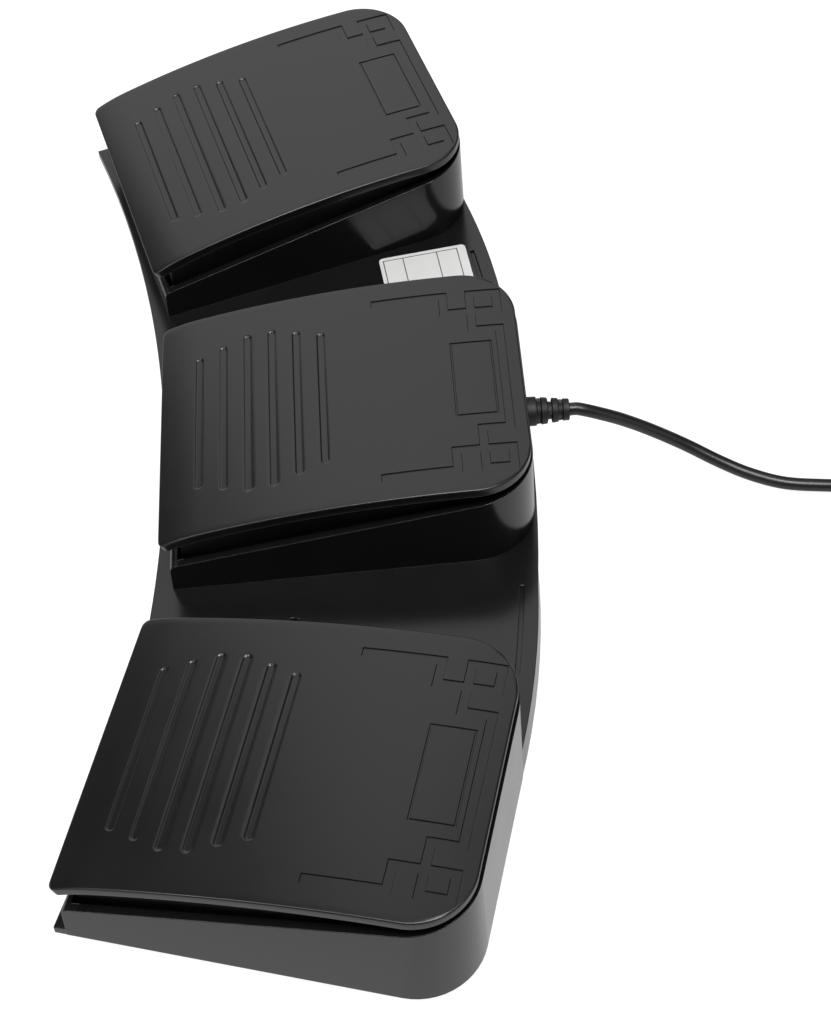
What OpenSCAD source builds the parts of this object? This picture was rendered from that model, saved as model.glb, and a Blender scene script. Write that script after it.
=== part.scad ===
// USB foot pedal switch: three sprung treadles fanned out on one curved base.
// Millimetres, +Z up, origin on the floor under the middle of the base.
// +X runs to the user's right, +Y to the cable side; each treadle presses down at its front edge.

/* [Fan and base] */
// Angle between neighbouring pedals
fan_angle = 15.4; // [14.8:0.1:18]
// Distance from the fan's centre to the pedals' front edges
fan_r = 416; // [412:2:440]
// Radius of the base's hollow front edge
front_edge_r = 454; // [440:2:480]
// How far the base reaches in front of the middle pedal
front_ledge = 1.4; // [1:0.1:4]
// Radius of the base's round rear edge
rear_edge_r = 485; // [470:1:492]
// How far the base reaches behind the middle pedal
rear_ledge = 3.2; // [3:0.1:4]
// Radius of the base's rear edge where it bows out between two housings
bow_r = 270; // [240:5:300]
// How far that bow reaches behind the pedals' rear line
bow_out = 4.2; // [3.8:0.1:4.6]
// Thickness of the base at its front edge
deck_front_h = 2.7; // [2.4:0.1:3.4]
// Height of the deck above the base's underside at the rear edge
deck_rear_h = 8.9; // [8:0.1:11]
// Thickness of the deck skin
deck_t = 2; // [1.6:0.1:2.2]
// Length of the moulded floor behind the front edge
front_floor_l = 20; // [18:0.5:23]

/* [Pedal housings] */
// Half width of a housing at its foot
house_half = 44.4; // [44:0.1:48]
// Front wall of a housing, measured from the plate's front edge
house_front = 2.2; // [1.8:0.1:3]
// How far a housing's foot reaches behind the plate
house_tail = 2.2; // [1.8:0.1:2.4]
// Radius of a housing's rear corners
house_corner_r = 19; // [16:0.5:21]
// Wall thickness of the housings
wall = 2.4; // [2:0.1:2.6]
// Lean of the walls, mm inwards for each mm of height
draft = 0.043; // [0.03:0.001:0.05]
// Height of the rim above the base's underside at the front
rim_front_h = 12.9; // [11:0.1:13.5]
// Slope of the rim, mm up for each mm to the rear
rim_slope = 0.205; // [0.18:0.001:0.208]
// Radius of the rim's front corner
rim_round = 2; // [1:0.1:3]
// Height of the moulded floor inside the housings
floor_h = 2.7; // [2.4:0.1:3]

/* [Pedal plates] */
// Width of a plate
plate_w = 86.6; // [82:0.2:90]
// Length of a plate
plate_l = 110; // [108:0.5:114]
// Thickness of a plate
plate_t = 3.2; // [2.8:0.1:3.6]
// Height of a plate's rear edge above the floor
plate_rear_z = 41.8; // [41.4:0.1:44]
// Radius of the plate's long curve
plate_curve_r = 370; // [350:5:400]
// Radius of the rear corners in plan
plate_corner_r = 17; // [10:0.5:20]
// Radius of the front corners in plan
front_corner_r = 2.5; // [1:0.1:4]
// Outer radius of the rolled front lip
lip_r = 8; // [7:0.1:9]
// Angle through which the lip turns down
lip_bend = 48.5; // [40:0.5:55]
// Depth of the sunk lines
sunk_d = 0.35; // [0.2:0.05:0.6]
// Width of the fret's sunk line
fret_w = 2.8; // [2:0.1:3]
// Width of one grip groove
grip_w = 2.6; // [1.5:0.1:3.5]
// Distance between grip grooves
grip_pitch = 7.6; // [6:0.1:8]
// Number of grip grooves
grip_n = 6; // [3:1:7]
// Distance of the skirt from the housing's side at its foot
skirt_in = 4.8; // [4.6:0.1:6.1]
// Thickness of the skirt
skirt_t = 2; // [1.5:0.1:2.4]

/* [Hinges] */
// Distance of the hinge axis from the plate's rear edge
hinge_back = 13; // [12:0.1:14]
// Height of the hinge axis above the floor
hinge_z = 33; // [32.5:0.1:33.2]
// Diameter of a hinge pin
pin_d = 4; // [3:0.1:4.4]
// Running clearance round a pin
pin_play = 0.05; // [0.02:0.01:0.1]
// Outer radius of a hinge eye
eye_r = 5; // [4.4:0.1:5.2]
// Thickness of a hinge eye
eye_t = 5.5; // [4:0.1:6]
// Thickness of a hinge bracket
bracket_t = 6; // [5:0.1:7]
// Distance of the brackets' inner faces from the housing's side at its foot
bracket_v = 20.4; // [19.4:0.1:21.4]
// How far a pedal turns when it is pressed
travel_a = 3; // [2.5:0.1:3.2]
// Gap between pieces that move against each other
play = 0.3; // [0.3:0.05:0.4]

/* [Springs and stops] */
// Distance of a spring from the hinge axis
spring_s = 57; // [56:0.5:59]
// Outer diameter of a spring
spring_d = 10; // [9:0.5:11]
// Wire diameter of a spring
spring_wire = 1; // [0.8:0.05:1.2]
// Turns of a spring
spring_turns = 6.5; // [5.5:1:7.5]
// Length of a spring at rest
spring_l = 23; // [21:0.5:24]
// Diameter of a rubber stop
stop_d = 8; // [6:0.5:10]
// Height of a rubber stop
stop_h = 3; // [2:0.1:3.5]
// Distance of the stops behind the skirt's front wall
stop_s = 1.8; // [1.7:0.1:2.7]
// Half distance between a pedal's two stops
stop_v = 18; // [14:0.5:22]

/* [Switches and boards] */
// Distance from the hinge axis to a switch plunger
switch_arm = 20; // [18:0.5:21]
// Length of a switch body
switch_l = 19.8; // [18:0.1:21]
// Thickness of a switch body
switch_t = 6.4; // [6:0.1:7]
// Height of a switch body
switch_h = 10.2; // [9:0.1:10.4]
// Diameter of a switch plunger
plunger_d = 2.4; // [2:0.1:2.8]
// How far a plunger stands out of its switch
plunger_out = 1.4; // [1.3:0.05:1.6]
// Thickness of the circuit boards
board_t = 1.6; // [1.2:0.1:1.8]
// Height of the board posts
post_h = 5; // [4.5:0.1:5.2]
// Width of the main board
board_w = 56; // [54:0.5:58]
// Length of the main board
board_l = 43; // [42:0.5:44]
// Width of a side board
side_board_w = 36; // [34:0.5:38]
// Length of a side board
side_board_l = 26; // [25:0.5:27]
// Diameter of an inner switch lead
lead_d = 2; // [1.6:0.1:2.1]

/* [Cover and fasteners] */
// Thickness of the bottom cover
cover_t = 1.5; // [1.3:0.1:1.6]
// Width of the shell's edge left round the cover
cover_edge = 1.3; // [1:0.1:1.5]
// Gap round the cover
cover_gap = 0.25; // [0.1:0.05:0.3]
// Height of the rubber feet below the base
foot_h = 1.5; // [1.2:0.1:2.5]
// Diameter of the rubber feet
foot_d = 12; // [10:0.5:13]
// Depth of the feet's seats
foot_seat = 0.5; // [0.3:0.05:0.6]
// Diameter of the cover screws
screw_d = 2.9; // [2.4:0.1:3]
// Length of the cover screws
screw_l = 8; // [7:0.5:9]
// Diameter of the board screws
board_screw_d = 2.5; // [2:0.1:2.6]
// Length of the board screws below their heads
board_screw_l = 5.5; // [5:0.1:6]
// Gap round a screw in its hole
thread_gap = 0.03; // [0.01:0.01:0.05]
// Diameter of the two mounting holes through the deck
mount_hole_d = 5; // [4:0.1:6]
// Distance of the mounting holes behind the pedals' front line
mount_s = 42; // [40:0.5:44]

/* [Cable] */
// Diameter of the cable
cable_d = 4; // [3.6:0.1:4.2]
// Height of the cable's exit above the base's underside
exit_h = 23; // [22:0.1:25]
// Diameter of the strain relief's root
relief_d = 9; // [7.5:0.1:9.6]
// Length of the strain relief outside the wall
relief_l = 14; // [13:0.1:14.2]
// Diameter of the coil at the middle of its turns
coil_d = 44; // [42:0.5:48]
// Width of the coil's tie
tie_w = 7; // [5:0.5:9]
// Thickness of the coil's tie
tie_t = 0.8; // [0.6:0.1:1]

/* [Label and deck trim] */
// Length of the rating label
label_l = 29.5; // [24:0.5:31]
// Width of the rating label
label_w = 22; // [18:0.5:24]
// Thickness of the rating label
label_t = 0.12; // [0.1:0.01:0.2]
// Width of the fine groove near the deck's rear edge
groove_w = 1.2; // [0.8:0.1:1.6]
// Depth of the fine groove
groove_d = 0.7; // [0.4:0.1:0.9]

/* [Hidden] */
$fn = 64;
big_fn = 720;
cut = 1;

// heights above the floor
base_z = foot_h;
cover_z = base_z + cover_t;
floor_z = base_z + floor_h;
board_z = cover_z + post_h;
board_top = board_z + board_t;
exit_z = base_z + exit_h;
switch_z = board_top + switch_h;

// plan, measured in the middle pedal's frame from its front edge
front_cy = -front_ledge - front_edge_r;
rear_cy = plate_l + rear_ledge - rear_edge_r;
house_rear = plate_l + house_tail;
plate_half = plate_w / 2;
hinge_s = plate_l - hinge_back;
switch_s = hinge_s - switch_arm;
deck_over = 12;
deck_r0 = fan_r - deck_over;
deck_r1 = fan_r + plate_l + deck_over;
deck_half_a = fan_angle + 14;
bow_lean = 0.1;
bow_a = 0.53 * fan_angle;
bow_a0 = 0.05 * fan_angle;
bow_a1 = 0.975 * fan_angle;
bow_r0 = fan_r + plate_l / 2;
bow_r1 = deck_r1 + deck_over;
floor_lip = 0.2;
plinth_h = 0.2;
deck_slope = (deck_rear_h - deck_front_h) / (plate_l + front_ledge + rear_ledge);
function to_micron(x) = round(1000 * x) / 1000;
pad_step = 0.25;
strip_step = 0.05;
pad_in = to_micron(draft * deck_rear_h + pad_step);
strip_in = to_micron(draft * deck_front_h + strip_step);
function deck_z(r) = base_z + deck_front_h + deck_slope * (r - fan_r + front_ledge);

// front corner of the base: where the end pedal's side line meets the front edge
corner_a = (fan_r + front_cy) * cos(fan_angle);
corner_b = house_half + (fan_r + front_cy) * sin(fan_angle);
corner_u = corner_a + sqrt(front_edge_r * front_edge_r - corner_b * corner_b);
y_front = corner_u * cos(fan_angle) - house_half * sin(fan_angle) - fan_r;
y_rear = plate_l + rear_ledge;
y_mid = (y_front + y_rear) / 2;

// plate curve and lip, in a plane across the hinge
curve_cz = plate_rear_z - plate_curve_r;
lip_s = 5;
lip_over = 0.6;
lip_a = 90 + asin((plate_l - lip_s) / plate_curve_r);
plate_sweep = lip_a - 90 + 2;
function plate_top(s) = curve_cz + sqrt(pow(plate_curve_r, 2) - pow(plate_l - s, 2));
skirt_gap = 1.2;
skirt_end = 2;
skirt_v = house_half - skirt_in;
skirt_s0 = house_front + wall + skirt_gap;
skirt_s1 = hinge_s - skirt_end;
skirt_z0 = 11;
skirt_rise = 0.16;
rib_t = 2;
rib_h = 5;
rib_v = 15;
stop_rib_t = 4;
stop_at = skirt_s0 + skirt_t + stop_s + stop_d / 2;
function drop(s) = (hinge_s - s) * sin(travel_a);

// sunk ornament of the plate: corner fret, framed panel and grip grooves
fret_in = 7.2;
fret_step = 7.2;
fret_gap = 7.8;
fret_rear = 4;
fret_ring = 11;
fret_run = 20.8;
panel_v = 14.7;
panel_l = 12.8;
panel_rear = 8.2;
panel_line = 0.7;
grip_front = 12;
grip_half = 31;
grip_taper = 2.5;

// hinge
pin_r = pin_d / 2;
eye_gap = 1;
pin_short = 0.5;
bracket_in = house_half - bracket_v;
eye_v = bracket_in + bracket_t + eye_gap;
pin_end_v = eye_v + eye_t - pin_short;
pin_rim = 1.2;
pin_head_r = pin_r + pin_rim;
pin_head_t = 1.2;
bracket_nose = 5.5;
bracket_under = 4.5;
bracket_over = 4;
nib_back = 5;
bracket_front = hinge_s - bracket_nose;
bracket_low = hinge_z - bracket_under;
bracket_top = hinge_z + bracket_over;
nib_s = plate_l - nib_back;

// springs
spring_at = hinge_s - spring_s;
spring_r = (spring_d - spring_wire) / 2;
spring_top = cover_z + spring_l;
seat_rim = 0.8;
spigot_gap = 1.4;
seat_r = spring_d / 2 + seat_rim;
spigot_r = spring_r - spring_wire / 2 - spigot_gap;
spigot_l = 4;
spring_steps = 12;

// switches
plunger_r = plunger_d / 2;
plunger_in = 2.4;
plunger_bore = 4;
nose_r = 2.5;
nose_w = 8;
nose_z = switch_z + plunger_out + play + nose_r;
terminal_r = 0.5;
terminal_gap = 0.1;
terminal_pitch = 7;
terminal_low = 2;

// boards: main board rear edge, and hole places in each pedal's frame
board_back = 3;
board_s1 = hinge_s - board_back;
board_s0 = board_s1 - board_l;
hole_in = 3.5;
post_r = 3;
board_holes = [for (x = [-1, 1], y = [0, 1])
    [x * (board_w / 2 - hole_in), y == 0 ? board_s0 + hole_in : board_s1 - hole_in]];
side_s0 = switch_s - side_board_l / 2;
side_holes = [[-side_board_w / 2 + hole_in, side_s0 + side_board_l - hole_in],
    [side_board_w / 2 - hole_in, side_s0 + hole_in]];
pan_r = board_screw_d;
pan_h = 1.6;
conn_w = 6;
conn_t = 5;
conn_h = 6;
conn_v = 20;
conn_in = 9;
conn_s = board_s0 + conn_in;
side_conn_v = 11;
side_conn_in = 4.5;
side_conn_s = side_s0 + side_conn_in;
cable_conn_in = 6;
cable_conn = [15, board_s1 - cable_conn_in];
cable_conn_w = 12.5;
cable_conn_t = 6;
cable_conn_h = 6.4;
chip_in = 10;
chip_at = [-9, board_s0 + chip_in];
chip_w = 10;
chip_t = 1.8;
chip_up = 0.1;
crystal_in = 18;
crystal_at = [-20, board_s1 - crystal_in];
crystal_l = 6.5;
crystal_w = 4.4;
crystal_h = 3.5;
chip_part_v = -2;
chip_part_step = 3;
chip_part_w = 1.25;
chip_part_l = 2;
chip_part_h = 0.8;
can_in = 8;
can_at = [-20, board_s1 - can_in];
can_r = 2.5;
can_h = 7;

// cover screws: two by the front and two by the rear wall of each housing
boss_in = 10.4;
boss_behind = 8;
boss_rear_in = 6.5;
boss_rear_v = 15;
boss_front = [house_half - boss_in, front_floor_l + boss_behind];
boss_rear = [boss_rear_v, plate_l - boss_rear_in];
boss_r = 3.4;
boss_front_top = 10.4;
boss_rear_top = 16;
boss_web = 3;
bosses = [for (x = [-1, 1], p = [boss_front, boss_rear]) [x * p[0], p[1]]];
screw_r = screw_d / 2;
screw_head_r = screw_r * 1.9;
foot_in = 13.4;
foot_back = 8;
foot_rear_in = 13;
foot_v = house_half - foot_in;
foot_front_s = front_floor_l - foot_back;
foot_rear_s = plate_l - foot_rear_in;
mount_col_t = 2.5;
mount_col_r = mount_hole_d / 2 + mount_col_t;
mount_gap = 0.3;
pocket_in = 11;
pocket_s = front_floor_l + pocket_in;
cover_rear_s = plate_l;

// wire notches through the housing walls
notch_side = 1.2;
notch_w = lead_d + 2 * notch_side;
notch_h = 2.9;
notch_back = 2;
middle_notch_s = conn_s + notch_back;
side_notch_s = side_conn_s;
lead_lift = 0.2;
lead_z = cover_z + lead_d / 2 + lead_lift;
lead_in = 7.4;
lead_step = 5;
lead_arch = [8.8, 1.4, 1.6, 1];
function lead_v(k) = house_half - lead_in + k * lead_step;
lead_top_z = board_top + conn_h / 2;

// strain relief seats in the middle housing's rear wall
exit_sunk = 0.3;
exit_step = 0.5;
exit_out_s = house_rear - draft * exit_h - exit_sunk;
exit_in_s = exit_out_s - wall + exit_step;
relief_end = exit_out_s + relief_l;
neck_in = 0.9;
neck_r = relief_d / 2 - neck_in;
neck_gap = 0.05;
flange_out = 0.6;
flange_r = relief_d / 2 + flange_out;
flange_t = 1.8;
rib_n = 3;
relief_root_l = 3.6;
relief_core_r = 2.9;
relief_rib_l = 2.2;
relief_rib_gap = 1.13;
relief_rib_in = 0.35;
relief_taper = 0.37;
cable_r = cable_d / 2;

// cable route behind the middle pedal, then the coil beyond it
cable_route = [[0.4, 87, 24], [0.6, 91, 22.5], [0.5, 98, 19], [0.6, 107, 13.6], [2.6, 118, 7.8],
    [7.5, 129, 4], [11.9, 138, 2.4], [16, 148, 2.2], [18.2, 160, 2.6], [19.4, 172, 2.8],
    [19.6, 182, 2.8], [19.6, 187, 2.8], [19.6, 192, 2.8]];
cable_end = cable_route[len(cable_route) - 1];
coil_pitch = cable_d + 0.6;
coil_turns = 11.25;
coil_layers = 4;
layer_turns = coil_turns / coil_layers;
coil_out = coil_d / 2 + coil_pitch * layer_turns / 2;
coil_in = coil_out - coil_pitch * layer_turns;
coil_z = cable_end.z;
coil_lead = 6;
coil_c = [cable_end.x + coil_out, cable_end.y + coil_lead];
coil_step = 15;
tail_route = [[6, 0.6, -0.2], [14, 0.6, -1.5], [26, 0, -7], [36, -1, -11.6], [44, -1.4, -12.6],
    [50, -1.4, -12.6], [55, -1.4, -12.6], [60, -1.4, -12.6]];
tie_gap = 0.3;
tie_turn = -35;

// plug
plug_w = 15.6;
plug_h = 8;
plug_l = 24;
plug_tail_l = 9;
plug_round = 2;
usb_w = 12;
usb_h = 4.5;
usb_l = 12;
usb_t = 0.3;
contact_from = 1;
contact_pitch = 2.3;
contact_w = 1.1;
contact_t = 0.25;

// label and groove
label_in = 24.4;
label_at = [-76.3, plate_l - label_in];
label_turn = 6.8;
label_round = 1.5;
groove_in = 1.8;
groove_s = plate_l - groove_in;
groove_a0 = 6;
groove_a1 = 9.4;

// Places its children in the frame of pedal i: -1 left, 0 middle, 1 right
module at(i) translate([0, -fan_r - y_mid, 0]) rotate(-i * fan_angle) translate([0, fan_r, 0])
    children();
function to_world(i, p) = [
    p.x * cos(i * fan_angle) + (fan_r + p.y) * sin(i * fan_angle),
    -p.x * sin(i * fan_angle) + (fan_r + p.y) * cos(i * fan_angle) - fan_r - y_mid, p.z];

// Children drawn in (rear, up) and carried along the hinge direction
module axle(s, z) translate([0, s, z]) rotate([90, 0, 90]) children();
module across(w) rotate([90, 0, 90]) translate([0, 0, -w / 2]) linear_extrude(w) children();
module block(v0, v1, s0, s1, z0, z1) translate([v0, s0, z0]) cube([v1 - v0, s1 - s0, z1 - z0]);
module mirrored() { children(); mirror([1, 0, 0]) children(); }
module sheet_arc(r_in, r_out, w, a0, a1)
    translate([0, 0, -w / 2]) rotate(a0) rotate_extrude(angle = a1 - a0, $fn = big_fn)
        translate([r_in, 0]) square([r_out - r_in, w]);

// Tube swept along points, with square ends
function unit(v) = v / norm(v);
function tangent(p, i) = unit(p[min(i + 1, len(p) - 1)] - p[max(i - 1, 0)]);
function carry(n, t) = unit(n - (n * t) * t);
function normals(p) = [for (i = 0, n = carry([0.11, 0.13, 1], tangent(p, 0)); i < len(p);
    i = i + 1, n = i < len(p) ? carry(n, tangent(p, i)) : n) n];
module tube(p, r, m) {
    ns = normals(p);
    rings = [for (i = [0 : len(p) - 1]) let (t = tangent(p, i), b = cross(t, ns[i]))
        for (k = [0 : m - 1]) p[i] + r * (cos(360 * k / m) * ns[i] + sin(360 * k / m) * b)];
    last = (len(p) - 1) * m;
    sides = [for (i = [0 : len(p) - 2], k = [0 : m - 1]) let (a = i * m + k, b = i * m + (k + 1) % m)
        each [[a, a + m, b], [b, a + m, b + m]]];
    polyhedron(rings, concat([[for (k = [0 : m - 1]) k]], sides, [[for (k = [m - 1 : -1 : 0]) last + k]]),
        convexity = 10);
}
function bend(a, b, c, d, t) = 0.5 * (2 * b + (c - a) * t + (2 * a - 5 * b + 4 * c - d) * t * t
    + (3 * b - a - 3 * c + d) * t * t * t);
function smooth(p, n) = concat([for (i = [0 : len(p) - 2], k = [0 : n - 1])
    bend(p[max(i - 1, 0)], p[i], p[i + 1], p[min(i + 2, len(p) - 1)], k / n)], [p[len(p) - 1]]);

// Outlines of the base; the housings' leaning walls stand just outside the pads
module pad_outline(inset) {
    half = house_half - inset;
    rear = house_rear - inset;
    r = house_corner_r - inset;
    translate([-half, house_front]) square([2 * half, rear - r - house_front]);
    translate([-half + r, house_front]) square([2 * (half - r), rear - house_front]);
    for (x = [-1, 1]) translate([x * (half - r), rear - r]) circle(r);
}
module strip_outline(inset) {
    half = house_half - strip_in - inset;
    translate([-half, -4 * wall]) square([2 * half, house_front + 5 * wall]);
}
module fan_sector() translate([0, -fan_r - y_mid]) polygon([[0, 0],
    [-2 * fan_r * sin(fan_angle), 2 * fan_r * cos(fan_angle)],
    [2 * fan_r * sin(fan_angle), 2 * fan_r * cos(fan_angle)]]);
module base_outline() difference() {
    union() {
        intersection() {
            translate([0, rear_cy - y_mid]) circle(rear_edge_r, $fn = big_fn);
            fan_sector();
        }
        for (i = [-1 : 1]) at(i) { pad_outline(pad_in); strip_outline(0); }
    }
    translate([0, front_cy - y_mid]) circle(front_edge_r, $fn = big_fn);
}
module bow_sector() polygon([for (p = [[bow_r0, bow_a0], [bow_r1, bow_a0], [bow_r1, bow_a1],
    [bow_r0, bow_a1]]) p[0] * [sin(p[1]), cos(p[1])]]);
// Block of the base: its rear wall bows out and leans between the housings
module base_block(h) {
    linear_extrude(h) base_outline();
    for (x = [0, 1]) mirror([x, 0, 0]) translate([0, -fan_r - y_mid, 0]) intersection() {
        linear_extrude(h) bow_sector();
        rotate(-bow_a) translate([0, fan_r + plate_l + bow_out - bow_r, 0])
            cylinder(h = h, r1 = bow_r, r2 = bow_r - bow_lean * h, $fn = big_fn);
    }
}
module cover_outline(inset) difference() {
    union() {
        intersection() {
            translate([0, -fan_r - y_mid]) circle(fan_r + cover_rear_s - inset, $fn = big_fn);
            fan_sector();
        }
        for (i = [-1 : 1]) at(i) pad_outline(pad_in + inset);
    }
    translate([0, -fan_r - y_mid]) circle(fan_r + front_floor_l - cover_edge + inset, $fn = big_fn);
}

// Sloped deck between two radii, its top lowered by down, its underside at z0
module deck_ring(r0, r1, a0, a1, z0, down)
    translate([0, -fan_r - y_mid, 0]) rotate(90 - a1) rotate_extrude(angle = a1 - a0, $fn = big_fn)
        polygon([[r0, z0], [r1, z0], [r1, deck_z(r1) - down], [r0, deck_z(r0) - down]]);

// Housing block with leaning walls and round rear corners
module tub(inset, s0, z0, z1) {
    in = inset + to_micron(draft * (z0 - base_z));
    low = house_half - in;
    rear = house_rear - in;
    r = house_corner_r - in;
    lean = to_micron(draft * (z1 - z0));
    translate([0, rear - r, 0]) rotate([90, 0, 0]) linear_extrude(rear - r - s0)
        polygon([[-low, z0], [low, z0], [low - lean, z1], [lean - low, z1]]);
    across(2 * (low - r)) polygon([[s0, z0], [rear, z0], [rear - lean, z1], [s0, z1]]);
    for (x = [-1, 1]) translate([x * (low - r), rear - r, z0]) cylinder(h = z1 - z0, r1 = r, r2 = r - lean);
}
function rim_z(s) = base_z + rim_front_h + rim_slope * s;
module under_rim(w) across(w) polygon(concat([[house_rear + cut, 0], [house_front, 0]],
    [for (a = [0 : 15 : 90 - atan(rim_slope)]) [house_front + rim_round * (1 - cos(a)),
        rim_z(house_front) - rim_round * (1 - sin(a))]],
    [[house_rear + cut, rim_z(house_rear + cut)]]));
module housing() {
    intersection() {
        tub(0, house_front, base_z + plinth_h, rim_z(house_rear) + cut);
        under_rim(3 * house_half);
    }
}
module hinge_bracket() {
    difference() {
        union() {
            block(bracket_in, bracket_in + bracket_t, bracket_front, house_rear - wall - cut,
                bracket_low, bracket_top);
            block(bracket_in, bracket_in + bracket_t, nib_s, house_rear - wall - cut, hinge_z,
                plate_top(nib_s) - plate_t - play);
        }
        axle(hinge_s, hinge_z) translate([0, 0, bracket_in - cut])
            cylinder(h = bracket_t + 2 * cut, r = pin_r + thread_gap);
    }
}
module screw_bosses() mirrored() {
    translate([boss_front.x, boss_front.y, base_z]) cylinder(h = boss_front_top - base_z, r = boss_r);
    block(boss_front.x, house_half - wall, boss_front.y - boss_web / 2, boss_front.y + boss_web / 2,
        base_z, boss_front_top - cut);
    translate([boss_rear.x, boss_rear.y, base_z]) cylinder(h = boss_rear_top - base_z, r = boss_r);
    block(boss_rear.x - boss_web / 2, boss_rear.x + boss_web / 2, boss_rear.y, house_rear - wall,
        base_z, boss_rear_top - cut);
}

module mount_places() for (x = [-1, 1]) translate([0, -fan_r - y_mid, 0]) rotate(-x * fan_angle / 2)
    translate([0, fan_r + mount_s, 0]) children();

module upper_shell() color("#161617") difference() {
    union() {
        difference() {
            union() {
                difference() {
                    intersection() {
                        deck_ring(deck_r0, deck_r1, -deck_half_a, deck_half_a, base_z - cut, 0);
                        translate([0, 0, base_z]) base_block(2 * deck_rear_h);
                    }
                    deck_ring(fan_r + pocket_s, fan_r + cover_rear_s - 2 * cover_edge,
                        -fan_angle, fan_angle, base_z - cut, deck_t);
                }
                intersection() {
                    deck_ring(fan_r + pocket_s - wall, deck_r1, -fan_angle, fan_angle, base_z, deck_t / 2);
                    mount_places() cylinder(h = 4 * deck_rear_h, r = mount_col_r);
                }
                for (i = [-1 : 1]) at(i) housing();
            }
            for (i = [-1 : 1]) at(i) {
                tub(wall, house_front + wall, floor_z, 2 * plate_rear_z);
                tub(wall + floor_lip, front_floor_l + wall, base_z - cut, floor_z + cut);
            }
        }
        for (i = [-1 : 1]) at(i) { mirrored() hinge_bracket(); screw_bosses(); }
    }
    difference() {
        translate([0, 0, base_z - cut]) linear_extrude(cover_t + cut) cover_outline(cover_edge);
        mount_places() cylinder(h = 4 * deck_rear_h, r = mount_col_r + mount_gap / 2);
    }
    for (i = [-1 : 1]) at(i) {
        for (p = bosses) translate([p.x, p.y, base_z])
            cylinder(h = screw_l + cut, r = screw_r + thread_gap);
        for (x = [-1, 1]) translate([x * foot_v, foot_front_s, base_z - cut])
            cylinder(h = foot_seat + cut, r = foot_d / 2);
    }
    mount_places() cylinder(h = 4 * deck_rear_h, r = mount_hole_d / 2);
    for (x = [-1, 1]) {
        deck_groove(x);
        at(x) mirror([x > 0 ? 1 : 0, 0, 0]) wire_notch(side_notch_s);
        at(0) mirror([x > 0 ? 0 : 1, 0, 0]) wire_notch(middle_notch_s);
    }
    at(0) translate([0, 0, exit_z]) rotate([-90, 0, 0]) {
        translate([0, 0, exit_in_s - cut]) cylinder(h = wall + 2 * cut, r = neck_r + neck_gap);
        translate([0, 0, exit_out_s]) cylinder(h = wall, r = relief_d / 2 + play);
        translate([0, 0, exit_in_s - 2 * wall]) cylinder(h = 2 * wall, r = flange_r + play);
    }
}
module wire_notch(s) block(house_half - 3 * wall, house_half + wall, s - notch_w / 2, s + notch_w / 2,
    base_z, cover_z + notch_h);
module deck_groove(x) difference() {
    deck_ring(fan_r + groove_s - groove_w / 2, fan_r + groove_s + groove_w / 2,
        x > 0 ? groove_a0 : -groove_a1, x > 0 ? groove_a1 : -groove_a0, base_z, -cut);
    deck_ring(deck_r0, deck_r1, -deck_half_a, deck_half_a, base_z - cut, groove_d);
}

module bottom_cover() color("#1b1b1c") {
    difference() {
        translate([0, 0, base_z]) linear_extrude(cover_t) cover_outline(cover_edge + cover_gap);
        for (i = [-1 : 1]) at(i) {
            for (p = bosses) translate([p.x, p.y, base_z]) {
                translate([0, 0, -cut]) cylinder(h = cover_t + 2 * cut, r = screw_r + play);
                cylinder(h = cover_t, r1 = screw_head_r + thread_gap, r2 = screw_r + thread_gap);
            }
            for (x = [-1, 1]) translate([x * foot_v, foot_rear_s, base_z - cut])
                cylinder(h = foot_seat + cut, r = foot_d / 2);
        }
        mount_places() cylinder(h = 2 * cover_z, r = mount_col_r + mount_gap);
    }
    for (i = [-1 : 1]) at(i) {
        translate([0, spring_at, cover_z]) cylinder(h = spigot_l, r = spigot_r);
        for (p = i == 0 ? board_holes : side_holes) translate([i == -1 ? -p.x : p.x, p.y, cover_z])
            difference() {
                cylinder(h = post_h, r = post_r);
                translate([0, 0, post_h + board_t - board_screw_l])
                    cylinder(h = 2 * post_h, r = board_screw_d / 2 + thread_gap);
            }
    }
}

module rubber_feet() color("#2a2a2a") for (i = [-1 : 1]) at(i)
    for (x = [-1, 1], s = [foot_front_s, foot_rear_s])
        translate([x * foot_v, s, 0]) cylinder(h = base_z + foot_seat, r = foot_d / 2);

module cover_screws() color("#8d9094") for (i = [-1 : 1], p = bosses) at(i) translate([p.x, p.y, base_z]) {
    difference() {
        union() {
            cylinder(h = cover_t, r1 = screw_head_r, r2 = screw_r);
            cylinder(h = screw_l - cut, r = screw_r);
        }
        for (a = [0, 90]) rotate(a) cube([screw_r * 2, screw_r / 2, cover_t], center = true);
    }
}

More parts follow.
